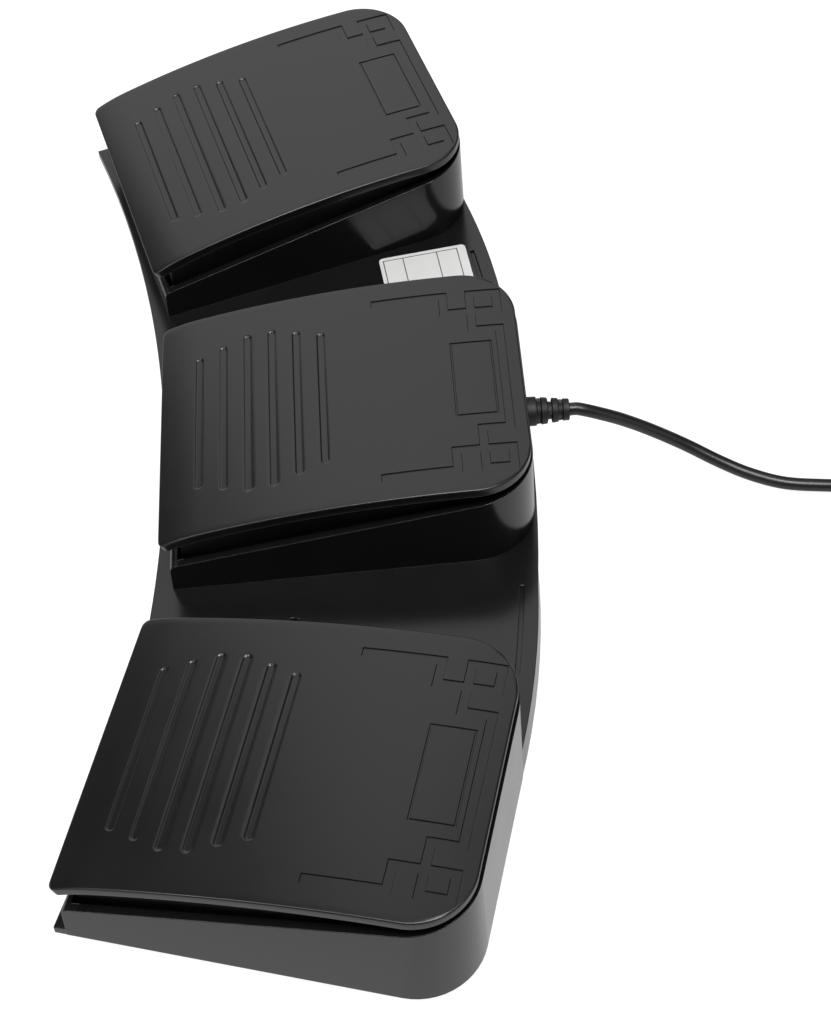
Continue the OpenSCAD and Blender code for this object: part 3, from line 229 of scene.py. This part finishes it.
# screw steel under bright zinc
zincSteel = metalMaterial("zinc plated steel", "#b4b7bb", "#8f9297", rough=(0.3, 0.45),
                          marks=0.5, stretch=(1, 1, 6))
# ground steel of the hinge pins
pinSteel = metalMaterial("ground pin steel", "#c9cbcf", "#a9acb1", rough=(0.18, 0.3),
                         marks=0.3, stretch=(6, 1, 1))
# drawn steel wire of the springs
springSteel = metalMaterial("drawn spring wire", "#bcbfc4", "#94979d", rough=(0.2, 0.35),
                            marks=0.4, stretch=(1, 1, 5))
# stamped brass of the terminals, tinned
tinnedBrass = metalMaterial("tinned brass", "#d2c39a", "#b7a67a", rough=(0.25, 0.4),
                            marks=0.3, stretch=(1, 1, 4))
# thin steel drawn into the crystal's can
drawnCan = metalMaterial("drawn steel can", "#cdd0d4", "#adb0b5", rough=(0.2, 0.3),
                         marks=0.6, stretch=(1, 1, 4))
# plated sheet steel folded into the plug's shell
plugSteel = metalMaterial("bright plated plug steel", "#d6d8dc", "#b6b9be", rough=(0.14, 0.26),
                          marks=0.5, stretch=(4, 1, 1), edge=0.15)
# thin gold on the contacts
contactGold = metalMaterial("gold plated contact", "#d8b25e", "#b98f3d", rough=(0.2, 0.3),
                            marks=0.3, stretch=(4, 1, 1))

nodeFinish = {
    "upper_shell": glossAbs, "bottom_cover": mattAbs, "rubber_feet": footRubber, "cover_screws": zincSteel,
    "stop_pads": stopRubber, "main_board": boardLaminate, "left_board": boardLaminate,
    "right_board": boardLaminate, "board_screws": zincSteel, "controller_chip": chipEpoxy,
    "crystal": drawnCan, "board_parts": chipEpoxy,
    "cable_connector": connectorNylon, "lead_connectors": connectorNylon, "left_lead": cablePvc,
    "right_lead": cablePvc, "inner_cable": cablePvc, "coil_tie": tieVinyl, "plug_shell": plugSteel,
    "plug_insulator": plugWhite, "plug_contacts": contactGold,
}
for i, side in fanSides:
    nodeFinish.update({side + "_hinge_pins": pinSteel, side + "_switch_body": switchCase,
                       side + "_switch_plunger": plungerPlastic, side + "_switch_terminals": tinnedBrass})
for name, finish in nodeFinish.items():
    for k in nodes[name].material_slots:
        k.material = finish
print("finishes set on", len(nodeFinish), "nodes")


# cable route in mm: out of the sleeve, down behind the base, along the floor, then a coil in four layers
cableShape = dict(
    diameter=4.0, sides=16, inside=3.0,
    route=[(0, 82.28, 24.5), (0, 84.28, 24.5), (0.4, 87, 24), (0.6, 91, 22.5), (0.5, 98, 19), (0.6, 107, 13.6),
           (2.6, 118, 7.8), (7.5, 129, 4), (11.9, 138, 2.4), (16, 148, 2.2), (18.2, 160, 2.6), (19.4, 172, 2.8),
           (19.6, 182, 2.8), (19.6, 187, 2.8), (19.6, 192, 2.8)],
    lead=6, turns=11.25, layers=4, pitch=4.6, middle=44.0, rise=0.5, perTurn=48, perSpan=6,
    tail=[(6, 0.6, -0.2), (14, 0.6, -1.5), (26, 0, -7), (36, -1, -11.6), (44, -1.4, -12.6), (50, -1.4, -12.6),
          (55, -1.4, -12.6), (60, -1.4, -12.6)])


# cubic through every point: B + t(C-A)/2 + t2(2A-5B+4C-D)/2 + t3(3B-A-3C+D)/2
def throughPoints(points, n):
    p = np.asarray(points, float)
    q = np.vstack([p[:1], p, p[-1:]])
    a, b, c, d = q[:-3], q[1:-2], q[2:-1], q[3:]
    t = (np.arange(n) / n)[:, None, None]
    curve = 0.5 * (2 * b + (c - a) * t + (2 * a - 5 * b + 4 * c - d) * t ** 2
                   + (3 * b - a - 3 * c + d) * t ** 3)
    return np.vstack([curve.transpose(1, 0, 2).reshape(-1, 3), p[-1:]])


# coil: radius goes in and out by one pitch a turn, height climbs one pitch as each layer turns round
def coilPath(c):
    end = np.array(c["route"][-1])
    per = c["turns"] / c["layers"]
    outer = c["middle"] / 2 + c["pitch"] * per / 2
    inner = outer - c["pitch"] * per
    q = np.linspace(0, c["turns"], int(c["turns"] * c["perTurn"]) + 1)
    layer = np.minimum(np.floor(q / per + 1e-9), c["layers"] - 1)
    shift = c["pitch"] * (q - layer * per)
    r = np.where(layer % 2 == 0, outer - shift, inner + shift)
    climb = q[:, None] - per * np.arange(1, c["layers"]) + c["rise"] / 2
    lift = np.clip(climb / c["rise"], 0, 1).sum(1) * c["pitch"]
    a = 2 * math.pi * q
    coil = np.stack([end[0] + outer - r * np.cos(a), end[1] + c["lead"] + r * np.sin(a),
                     end[2] + lift], 1)
    lead = end + np.array([[0, c["lead"] / 3, 0], [0, 2 * c["lead"] / 3, 0]])
    tail = throughPoints(coil[-1] + np.vstack([[0, 0, 0], c["tail"]]), c["perSpan"])[1:]
    return np.vstack([throughPoints(c["route"], c["perSpan"]), lead, coil, tail])


# round tube: each ring is p + r(cos side + sin up), side level and square to the path
def tubeAlong(path, radius, sides):
    t = np.gradient(path, axis=0)
    t /= np.linalg.norm(t, axis=1)[:, None]
    side = np.cross([0, 0, 1], t)
    side /= np.linalg.norm(side, axis=1)[:, None]
    up = np.cross(t, side)
    a = 2 * math.pi * np.arange(sides) / sides
    out = np.cos(a)[:, None] * side[:, None] + np.sin(a)[:, None] * up[:, None]
    ring = path[:, None] + radius * out
    n = len(path)
    caps = [np.arange(sides)[::-1][None], (n - 1) * sides + np.arange(sides)[None]]
    return ring.reshape(-1, 3), [gridFaces(n, sides, True), *caps]


cablePath = coilPath(cableShape)
cableStart = cablePath[0] - [0, cableShape["inside"], 0]
cableMesh = tubeAlong(np.vstack([cableStart, cablePath]), cableShape["diameter"] / 2, cableShape["sides"])
cable = meshPiece("usbCable", *cableMesh, cablePvc)
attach(cable, "base")
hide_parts("usb_cable", "usb_cable_coil")

# ribbed sleeve round the cable, turned about its axis: a root and three smaller ribs with soft corners
sleeveShape = dict(start=68.28, height=24.5, root=3.6, rib=2.2, gap=1.13, radii=(4.5, 4.1, 3.75, 3.35),
                   groove=1.2, soft=0.3, bridge=0.14, bridgeRise=0.8, bridgeTurn=0.6, rootEven=0.8,
                   rings=141, sides=64)


def sleeveSurface(c):
    n = len(c["radii"]) - 1
    starts = c["root"] + c["gap"] + np.arange(n) * (c["rib"] + c["gap"])
    ends = np.concatenate([[c["root"]], starts + c["rib"]])
    starts = np.concatenate([[-c["root"]], starts])
    y = np.linspace(0, ends[-1], c["rings"])
    into = np.minimum(y[:, None] - starts, ends - y[:, None]) / c["soft"]  # depth into each rib
    rise = np.sqrt(1 - (1 - np.clip(into, 0, 1)) ** 2).max(1)[:, None]
    middles = np.concatenate([[c["rootEven"] * c["root"]], (starts[1:] + ends[1:]) / 2])
    hull = np.interp(y, middles, c["radii"])[:, None]
    a = 2 * math.pi * np.arange(c["sides"]) / c["sides"]
    turn = math.pi / 2 * (np.searchsorted(ends, y)[:, None] % 2)  # bridges stand crosswise by turns
    bridge = c["bridgeRise"] * np.exp(-(np.sin(a - turn - c["bridgeTurn"]) / c["bridge"]) ** 2)
    bridge = bridge * (y < ends[-1] - c["soft"])[:, None]
    r = hull - c["groove"] * (1 - np.maximum(rise, bridge))
    ring = np.stack([r * np.cos(a), np.broadcast_to(y[:, None] + c["start"], r.shape),
                     c["height"] + r * np.sin(a)], -1)
    n, m = r.shape
    caps = [np.arange(m)[None], (n - 1) * m + np.arange(m)[::-1][None]]
    return ring.reshape(-1, 3), [gridFaces(n, m, True)[:, ::-1], *caps]


sleeve = meshPiece("cableSleeve", *sleeveSurface(sleeveShape), sleevePvc, sharp=50)
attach(sleeve, "base")
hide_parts("strain_relief")

# plug handle lofted along +X: half width, half height and squareness of each section,
# rings cut into its tail and grip ribs across its flat sides
plugShape = dict(at=(108.069, 225.069, 4.0), tail=9.0, length=24.0, width=15.6, height=8.0, tailStart=2.7,
                 tailEnd=3.7, neck=3.0, square=3.5, ringDepth=0.35, ringPitch=1.5, ringFrom=0.8, ringTo=0.6,
                 endRound=0.9, gripDepth=0.28, gripPitch=2.4, gripFirst=6, gripFrom=5.4, gripTo=16.4,
                 tailRings=40, bodyRings=90, around=64)


def plugSurface(c):
    x = np.concatenate([np.linspace(0, c["tail"], c["tailRings"]),
                        c["tail"] + np.linspace(0.01, c["length"], c["bodyRings"])])
    s = np.clip((x - c["tail"]) / c["neck"], 0, 1)
    swell = np.sqrt(1 - (1 - s) ** 2)
    ring = c["ringDepth"] * (np.abs(np.sin(math.pi * x / c["ringPitch"])) < 0.5)
    ring = ring * (x < c["tail"] - c["ringTo"]) * (x > c["ringFrom"])
    stem = c["tailStart"] + (c["tailEnd"] - c["tailStart"]) * np.clip(x / c["tail"], 0, 1) - ring
    over = np.clip((x - c["tail"] - c["length"] + c["endRound"]) / c["endRound"], 0, 1)
    endRound = c["endRound"] * (1 - np.sqrt(1 - over ** 2))
    wave = np.cos(2 * math.pi * (x - c["tail"] - c["gripFirst"]) / c["gripPitch"])
    grip = c["gripDepth"] * np.clip(wave, 0, 1)
    grip = grip * (x > c["tail"] + c["gripFrom"]) * (x < c["tail"] + c["gripTo"])
    wide = stem + (c["width"] / 2 - stem) * swell - endRound
    high = stem + (c["height"] / 2 - stem) * swell - endRound - grip
    power = 2 + c["square"] * s
    a = 2 * math.pi * np.arange(c["around"]) / c["around"]
    cy = np.sign(np.cos(a)) * np.abs(np.cos(a)) ** (2 / power[:, None])
    cz = np.sign(np.sin(a)) * np.abs(np.sin(a)) ** (2 / power[:, None])
    loft = np.stack([np.broadcast_to(x[:, None], cy.shape), wide[:, None] * cy, high[:, None] * cz], -1)
    n, m = cy.shape
    caps = [np.arange(m)[::-1][None], (n - 1) * m + np.arange(m)[None]]
    return (loft + c["at"]).reshape(-1, 3), [gridFaces(n, m, True), *caps]


plug = meshPiece("plugHandle", *plugSurface(plugShape), sleevePvc, sharp=40)
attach(plug, "base")
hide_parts("plug_body")
print("sleeve and plug made")

# treadle plates: a sheet on a long arc with a tighter arc for the front lip, sizes in mm
plateShape = dict(fanAngle=15.4, fanRadius=416.0, middleY=42.631, half=43.3, length=110.0, thick=3.2,
                  rearTop=41.8, curve=370.0, lip=58.0, lipBend=13.2, lipStart=12.0, rearCorner=17.0,
                  frontCorner=2.5, edge=0.55, underEdge=0.5, sunk=0.38, wall=0.16, evenHalf=36.6, evenRim=0.6)
lipAngle = math.asin((plateShape["length"] - plateShape["lipStart"]) / plateShape["curve"])
lipRun = plateShape["curve"] * lipAngle
plateRun = lipRun + plateShape["lip"] * math.radians(plateShape["lipBend"])


# run is measured along the top from the rear edge, depth goes down square to it:
# s = length - r sin a and z = rearTop - curve + r cos a, with the lip's centre moved along its first radius
def plateCurve(run, depth, c=plateShape):
    lip = run > lipRun
    a = np.where(lip, lipAngle + (run - lipRun) / c["lip"], run / c["curve"])
    r = np.where(lip, c["lip"], c["curve"]) - depth
    moved = np.where(lip, c["curve"] - c["lip"], 0)
    s = c["length"] - moved * math.sin(lipAngle) - r * np.sin(a)
    z = c["rearTop"] - c["curve"] + moved * math.cos(lipAngle) + r * np.cos(a)
    return s, z


# pedal i stands at i times the fan angle: x = v cos + (R+s) sin, y = (R+s) cos - v sin - R - middle
def fanPlace(i, v, s, z, c=plateShape):
    a = math.radians(c["fanAngle"]) * i
    out = c["fanRadius"] + s
    return np.stack([v * math.cos(a) + out * math.sin(a),
                     out * math.cos(a) - v * math.sin(a) - c["fanRadius"] - c["middleY"], z], -1)


# half width of the plate at a run: round rear corners, small front corners
def halfWidth(run, c=plateShape):
    rear = np.clip(c["rearCorner"] - run, 0, c["rearCorner"])
    front = np.clip(run - plateRun + c["frontCorner"], 0, c["frontCorner"])
    return (c["half"] - c["rearCorner"] + np.sqrt(c["rearCorner"] ** 2 - rear ** 2)
            - c["frontCorner"] + np.sqrt(c["frontCorner"] ** 2 - front ** 2))


# distance inside the plate's outline, a rectangle with round corners
def insideOutline(v, run, c=plateShape):
    r = np.where(run < plateRun / 2, c["rearCorner"], c["frontCorner"])
    qx = np.abs(v) - c["half"] + r
    qy = np.maximum(-run, run - plateRun) + r
    return r - np.hypot(np.maximum(qx, 0), np.maximum(qy, 0)) - np.minimum(np.maximum(qx, qy), 0)


# sunk ornament: depth rises from 0 to full over the wall's width inside each bar, frame and groove
# a bar is v from, v to, s from, s to, and is drawn on both sides of the middle
fretBars = [(33.3, 36.1, 66, 89.6), (26.1, 36.1, 86.8, 89.6), (26.1, 28.9, 86.8, 106),
            (33.3, 36.1, 95, 106), (18.3, 36.1, 95, 97.8), (26.1, 36.1, 103.2, 106),
            (18.3, 21.1, 95, 106), (-21.1, 21.1, 103.2, 106)]
panelFrame = dict(half=14.7, rear=101.8, front=89.0, line=0.7)
gripRow = dict(count=6, first=12.0, pitch=7.6, half=31.0, taper=2.5, radius=1.3, wall=0.4)


def ornamentDepth(v, s, c=plateShape):
    w = np.abs(v)
    bars = np.array(fretBars)[:, :, None, None]
    into = np.minimum(np.minimum(w - bars[:, 0], bars[:, 1] - w),
                      np.minimum(s - bars[:, 2], bars[:, 3] - s)).max(0)
    p = panelFrame
    outer = np.minimum(p["half"] - w, np.minimum(s - p["front"], p["rear"] - s))
    into = np.maximum(into, np.minimum(outer, p["line"] - outer))
    g = gripRow
    k = np.clip(np.round((s - g["first"]) / g["pitch"]), 0, g["count"] - 1)
    half = g["half"] - g["taper"] * np.abs(k - (g["count"] - 1) / 2)
    groove = g["radius"] - np.hypot(np.maximum(w - half, 0), s - g["first"] - k * g["pitch"])
    return c["sunk"] * np.maximum(np.clip(into / c["wall"], 0, 1), np.clip(groove / g["wall"], 0, 1))


# grid lines stand at every edge of the ornament and close together where edges are rounded;
# grooveEnds and sides are from, to and step
plateGrid = dict(step=1.5, middle=36.0, grooveEnds=(24.5, 32.6, 0.3), sides=(37.0, 42.0, 1.0), lipStep=0.5,
                 frontEdge=1.5, edgeLines=8, cornerLines=26, grooveLines=13, grooveReach=1.4)


def plateLines(c=plateShape, d=plateGrid):
    turn = 1 - np.cos(np.radians(np.linspace(0, 90, d["edgeLines"])))
    runOf = lambda s: c["curve"] * np.arcsin((c["length"] - np.asarray(s, float)) / c["curve"])
    bars = np.array(fretBars)
    p, g = panelFrame, gripRow
    across = np.concatenate([bars[:, :2].ravel(), [p["half"], p["half"] - p["line"]]])
    along = np.concatenate([bars[:, 2:].ravel(), [p["front"], p["front"] + p["line"],
                                                  p["rear"] - p["line"], p["rear"]]])
    steps = np.array([-c["wall"], 0, c["wall"]])
    v = np.concatenate([np.arange(0, d["middle"], d["step"]), np.abs(across[:, None] + steps).ravel(),
                        np.arange(*d["grooveEnds"]), np.arange(*d["sides"]), c["half"] - c["edge"] * turn])
    rows = g["first"] + g["pitch"] * np.arange(g["count"])
    rowSteps = np.linspace(-d["grooveReach"], d["grooveReach"], d["grooveLines"])
    corner = c["rearCorner"] * (1 - np.cos(np.linspace(0, math.pi / 2, d["cornerLines"])))
    run = np.concatenate([np.arange(0, lipRun, d["step"]), c["edge"] * turn, corner,
                          runOf(along[:, None] + steps).ravel(), runOf(rows[:, None] + rowSteps).ravel(),
                          np.arange(lipRun, plateRun, d["lipStep"]), plateRun - d["frontEdge"] * turn])
    v = np.unique(np.round(v, 3))
    return np.concatenate([-v[:0:-1], v]), np.unique(np.round(np.clip(run, 0, plateRun), 3))


# closed sheet from a top and a bottom grid of points: both grids and a wall along the four borders
def closedSheet(top, bottom):
    n, m = top.shape[:2]
    k = np.arange(n * m).reshape(n, m)
    loop = np.concatenate([k[0, :-1], k[:-1, -1], k[-1, :0:-1], k[:0:-1, 0]])
    wall = np.stack([loop, np.roll(loop, -1), np.roll(loop, -1) + n * m, loop + n * m], -1)
    return (np.concatenate([top.reshape(-1, 3), bottom.reshape(-1, 3)]),
            [gridFaces(n, m), gridFaces(n, m, start=n * m)[:, ::-1], wall[:, ::-1]])


# lines run straight over the even half and close up to the outline beside it; edges fall as quarter circles
def plateSheet(i, c=plateShape):
    v0, run = (g.astype(float) for g in np.meshgrid(*plateLines(), indexing="xy"))
    half = halfWidth(run)
    inner = c["evenHalf"]
    k = np.minimum(1, (half - c["evenRim"]) / inner)
    w = np.abs(v0)
    side = inner * k + (w - inner) * (half - inner * k) / (c["half"] - inner)
    v = np.sign(v0) * np.where(w <= inner, w * k, side)
    near = insideOutline(v, run)
    fall = lambda e: e - np.sqrt(e ** 2 - (e - np.clip(near, 0, e)) ** 2)
    s = plateCurve(run, 0)[0]
    top = fanPlace(i, v, *plateCurve(run, fall(c["edge"]) + ornamentDepth(v, s)))
    bottom = fanPlace(i, v, *plateCurve(run, c["thick"] - fall(c["underEdge"])))
    return closedSheet(top, bottom)


# the treadle's skirt, ribs, eyes and nose: a merged copy of its solid. The solid's plate is known by its depth
# under the top, with a tighter lip than the sheet has, and is drawn well inside the sheet
solidPlate = dict(lip=8.0, lipBend=48.5, lipStart=5.0, turnSlack=0.02, bendSlack=0.5, depthSlack=0.05,
                  outside=99, rearIn=1.2, frontIn=1.4, sideIn=1.0, depthFrom=2.1, depthSpan=0.7)


def underPlate(node, i, c=plateShape, k=solidPlate):
    solidAngle = math.asin((c["length"] - k["lipStart"]) / c["curve"])
    mesh = nodes[node].data
    p = np.empty(len(mesh.vertices) * 3, np.float32)
    mesh.vertices.foreach_get("co", p)
    mesh.calc_loop_triangles()
    f = np.empty(len(mesh.loop_triangles) * 3, np.int32)
    mesh.loop_triangles.foreach_get("vertices", f)
    p, index = np.unique(np.round(p.reshape(-1, 3).astype(float) / mm, 4), axis=0, return_inverse=True)
    f = index.ravel()[f.reshape(-1, 3)]
    f = f[(f[:, 0] != f[:, 1]) & (f[:, 1] != f[:, 2]) & (f[:, 2] != f[:, 0])]
    a = math.radians(c["fanAngle"]) * i
    y = p[:, 1] + c["fanRadius"] + c["middleY"]
    v = p[:, 0] * math.cos(a) - y * math.sin(a)
    s = p[:, 0] * math.sin(a) + y * math.cos(a) - c["fanRadius"]
    back, high = c["length"] - s, p[:, 2] - c["rearTop"] + c["curve"]
    turn = np.arctan2(back, high)
    lipBack = back - (c["curve"] - k["lip"]) * math.sin(solidAngle)
    lipHigh = high - (c["curve"] - k["lip"]) * math.cos(solidAngle)
    lipTurn = np.arctan2(lipBack, lipHigh)
    lipEnd = solidAngle + math.radians(k["lipBend"] + k["bendSlack"])
    lip = (turn > solidAngle) & (lipTurn > solidAngle - k["turnSlack"]) & (lipTurn < lipEnd)
    depth = np.where(turn <= solidAngle, c["curve"] - np.hypot(back, high),
                     np.where(lip, k["lip"] - np.hypot(lipBack, lipHigh), k["outside"]))
    run = np.where(turn <= solidAngle, c["curve"] * turn,
                   c["curve"] * solidAngle + k["lip"] * (lipTurn - solidAngle))
    plate = depth < c["thick"] + k["depthSlack"]
    run = np.clip(run, k["rearIn"], plateRun - k["frontIn"])
    limit = halfWidth(run) - k["sideIn"]
    inside = plateCurve(run, k["depthFrom"] + k["depthSpan"] * depth / c["thick"])
    new = fanPlace(i, np.clip(v, -limit, limit), *inside)
    return np.where(plate[:, None], new, p), [f]


for i, side in fanSides:
    plate = meshPiece(side + "Treadle", *plateSheet(i), satinAbs, sharp=40)
    frameUnder = meshPiece(side + "TreadleFrame", *underPlate(side + "_pedal", i), mattAbs, sharp=30)
    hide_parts(side + "_pedal")
    for piece in (plate, frameUnder):
        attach(piece, side + "_pedal")
    print(side, "treadle:", len(plate.data.polygons), "faces")

# return springs: round wire on a helix, v = r cos a, s = at + r sin a, z rising evenly with a, sizes in mm
springShape = dict(at=40.0, foot=3.0, length=23.0, outer=10.0, wire=1.0, turns=6.5, steps=36, sides=12)
halfWire = springShape["wire"] / 2


def springWire(i, c):
    t = np.linspace(0, 1, int(c["turns"] * c["steps"]) + 1)
    a = 2 * math.pi * c["turns"] * t
    r = (c["outer"] - c["wire"]) / 2
    z = c["foot"] + halfWire + (c["length"] - c["wire"]) * t
    return tubeAlong(fanPlace(i, r * np.cos(a), c["at"] + r * np.sin(a), z), halfWire, c["sides"])


# the real spring's foot stays on the cover and its top goes down with the treadle, so its turns close up; this
# piece is drawn at rest and attached to no body
for i, side in fanSides:
    spring = meshPiece(side + "ReturnSpring", *springWire(i, springShape), springSteel)
    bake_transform(spring)
    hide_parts(side + "_spring")
print("springs made")

# rating label: blank film on the sloping deck, ruled with a border and two lines
labelShape = dict(at=(-76.3, 42.969), turn=6.8, length=29.5, width=22.0, corner=1.5, thick=0.12, lift=0.01,
                  line=0.3, border=1.4, rules=(-6.7, 4.8), endBorder=3.0, rows=24, columns=13, cornerLines=9,
                  paleFilm="#dadad9", greyFilm="#cfcfce", ink="#232323", rough=0.42, mottle=6)
deckShape = dict(foot=1.5, front=2.7, rear=8.9, depth=114.6, frontOver=1.4)


# the deck rises evenly with the distance from the middle of the fan
def deckHeight(x, y, c=plateShape, d=deckShape):
    out = np.hypot(x, y + c["fanRadius"] + c["middleY"]) - c["fanRadius"] + d["frontOver"]
    return d["foot"] + d["front"] + (d["rear"] - d["front"]) / d["depth"] * out


def labelSheet(c):
    turn = 1 - np.cos(np.radians(np.linspace(0, 90, c["cornerLines"])))
    end = c["length"] / 2
    u = np.concatenate([np.linspace(-end, end, c["rows"]), end - c["corner"] * turn, c["corner"] * turn - end])
    u = np.unique(np.round(u, 4))
    t = np.linspace(-1, 1, c["columns"])
    over = np.clip(np.abs(u) - end + c["corner"], 0, c["corner"])
    half = c["width"] / 2 - c["corner"] + np.sqrt(c["corner"] ** 2 - over ** 2)
    w, u = t[None] * half[:, None], np.broadcast_to(u[:, None], (len(u), c["columns"]))
    a = math.radians(c["turn"])
    x = c["at"][0] + w * math.cos(a) - u * math.sin(a)
    y = c["at"][1] + w * math.sin(a) + u * math.cos(a)
    z = deckHeight(x, y)
    uv = np.stack([w, u], -1).reshape(-1, 2)
    sheet = closedSheet(np.stack([x, y, z + c["thick"]], -1), np.stack([x, y, z + c["lift"]], -1))
    return (*sheet, np.concatenate([uv, uv]))


# printed film: pale satin face, ruled lines where the flat map in mm comes within half a line of a rule
def labelMaterial(c):
    material = bpy.data.materials.new("printed label film")
    material.use_nodes = True
    tree = material.node_tree
    shader = tree.nodes["Principled BSDF"]
    flat = addNode(tree, "ShaderNodeUVMap", {"uv_map": "flat"})
    parts = addNode(tree, "ShaderNodeSeparateXYZ", None, {0: (flat, "UV")})
    side = addNode(tree, "ShaderNodeMath", {"operation": "ABSOLUTE"}, {0: (parts, "X")})
    level = lambda source, output, value: addNode(tree, "ShaderNodeMath", {"operation": "COMPARE"},
                                                  {0: (source, output), 1: value, 2: c["line"] / 2})
    edgeX = c["width"] / 2 - c["border"]
    low, high = c["border"] - c["length"] / 2, c["length"] / 2 - c["endBorder"]
    ends = [level(parts, "Y", value) for value in (low, high, *c["rules"])]
    most = ends[0]
    for other in ends[1:]:
        most = addNode(tree, "ShaderNodeMath", {"operation": "MAXIMUM"}, {0: (most, 0), 1: (other, 0)})
    within = addNode(tree, "ShaderNodeMath", {"operation": "LESS_THAN"},
                     {0: (side, 0), 1: edgeX + c["line"] / 2})
    cross = addNode(tree, "ShaderNodeMath", {"operation": "MULTIPLY"}, {0: (most, 0), 1: (within, 0)})
    span = addNode(tree, "ShaderNodeMath", {"operation": "COMPARE"},
                   {0: (parts, "Y"), 1: (low + high) / 2, 2: (high - low) / 2})
    long = addNode(tree, "ShaderNodeMath", {"operation": "MULTIPLY"},
                   {0: (level(side, 0, edgeX), 0), 1: (span, 0)})
    ink = addNode(tree, "ShaderNodeMath", {"operation": "MAXIMUM"}, {0: (cross, 0), 1: (long, 0)})
    place = addNode(tree, "ShaderNodeTexCoord")
    mottle = addNode(tree, "ShaderNodeTexNoise", None,
                     {"Vector": (place, "Object"), "Scale": 1 / (c["mottle"] * mm), "Detail": 3.0})
    film = addNode(tree, "ShaderNodeMix", {"data_type": "RGBA"},
                   {0: (mottle, "Fac"), 6: linear(c["greyFilm"]), 7: linear(c["paleFilm"])})
    ruled = addNode(tree, "ShaderNodeMix", {"data_type": "RGBA"},
                    {0: (ink, 0), 6: (film, 2), 7: linear(c["ink"])})
    tree.links.new(ruled.outputs[2], shader.inputs["Base Color"])
    shader.inputs["Roughness"].default_value = c["rough"]
    return material


points, faces, uv = labelSheet(labelShape)
label = meshPiece("ratingLabel", points, faces, labelMaterial(labelShape), uv=uv)
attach(label, "base")
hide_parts("rating_label")
print("label made")

# studio floor: a lit paper sheet out to reach in m, open under the base between two arcs of the fan in mm,
# where no light falls on it
floorShape = dict(angle=18, points=25, front=8.0, rear=102.0, reach=5.0, colour="#7c7c7c", rough=0.9)


def paperSheet(name, height, glow, c=plateShape, d=floorShape):
    a = np.radians(np.linspace(-d["angle"], d["angle"], d["points"]))
    arc = lambda s: np.stack([(c["fanRadius"] + s) * np.sin(a),
                              (c["fanRadius"] + s) * np.cos(a) - c["fanRadius"] - c["middleY"]], 1)
    inner = np.vstack([arc(d["front"]), arc(d["rear"])[::-1]]) * mm
    far = inner / np.linalg.norm(inner, axis=1)[:, None] * d["reach"]
    points = np.column_stack([np.vstack([inner, far]), np.full(2 * len(inner), height)])
    mesh = bpy.data.meshes.new(name)
    mesh.from_pydata(points.tolist(), [], gridFaces(2, len(inner), True)[:, ::-1].tolist())
    paper = bpy.data.materials.new(name + " lit paper")
    paper.use_nodes = True
    shader = paper.node_tree.nodes["Principled BSDF"]
    shader.inputs["Base Color"].default_value = linear(d["colour"])
    shader.inputs["Roughness"].default_value = d["rough"]
    shader.inputs["Emission Color"].default_value = (1, 1, 1, 1)
    shader.inputs["Emission Strength"].default_value = glow
    mesh.materials.append(paper)
    sheet = bpy.data.objects.new(name, mesh)
    bpy.context.scene.collection.objects.link(sheet)
    return sheet


# the white sheet is what the eye sees; the gloss mirrors a dimmer sheet just under it
floor = paperSheet("studioFloor", height=0.0, glow=0.93)
floor.visible_glossy = False
mirrored = paperSheet("mirroredFloor", height=-0.0004, glow=0.55)
mirrored.visible_camera = mirrored.visible_diffuse = mirrored.visible_shadow = False

airLight = dict(colour=(1, 1, 1, 1), strength=0.05)
world = bpy.data.worlds.new("studioAir")
world.use_nodes = True
air = world.node_tree.nodes["Background"]
air.inputs["Color"].default_value = airLight["colour"]
air.inputs["Strength"].default_value = airLight["strength"]
bpy.context.scene.world = world
bpy.context.scene.view_settings.view_transform = "Standard"

# studio lights, all aimed at the origin: a low strip on the far side, a ceiling box, two overhead lights
# that the sloping rims mirror, and two weak side panels; places and sizes in m, twist in radians
studioLights = [dict(name="farStrip", at=(-0.501, -0.121, 0.331), size=(1.07, 0.5), twist=0.48, radiance=1.1),
                dict(name="ceilingBox", at=(0.45, 0.1, 2.0), size=(0.8, 0.8), twist=0.0, radiance=15.0),
                dict(name="edgeStrip", at=(0.47, -0.55, 2.0), size=(0.3, 0.9), twist=0.0, radiance=7.5),
                dict(name="edgeBox", at=(0.45, -1.5, 2.0), size=(0.7, 0.5), twist=0.0, radiance=11.0),
                dict(name="frontPanel", at=(0.6, -1.1, 0.7), size=(1.2, 0.8), twist=0.0, radiance=0.6),
                dict(name="rearPanel", at=(0.6, 1.1, 0.7), size=(1.2, 0.8), twist=0.0, radiance=0.6)]
for c in studioLights:
    data = bpy.data.lights.new(c["name"], "AREA")
    data.shape, data.size, data.size_y = "RECTANGLE", *c["size"]
    data.energy = c["radiance"] * math.pi * c["size"][0] * c["size"][1]
    lamp = bpy.data.objects.new(c["name"], data)
    lamp.visible_camera = False
    bpy.context.scene.collection.objects.link(lamp)
    back = np.array(c["at"]) / np.linalg.norm(c["at"])
    right = np.cross([0, 1, 0], back)
    right /= np.linalg.norm(right)
    up = np.cross(back, right)
    place = np.eye(4)
    place[:3, 0] = math.cos(c["twist"]) * right + math.sin(c["twist"]) * up
    place[:3, 1] = math.cos(c["twist"]) * up - math.sin(c["twist"]) * right
    place[:3, 2], place[:3, 3] = back, c["at"]
    lamp.matrix_world = Matrix(place.tolist())
print("lights set")
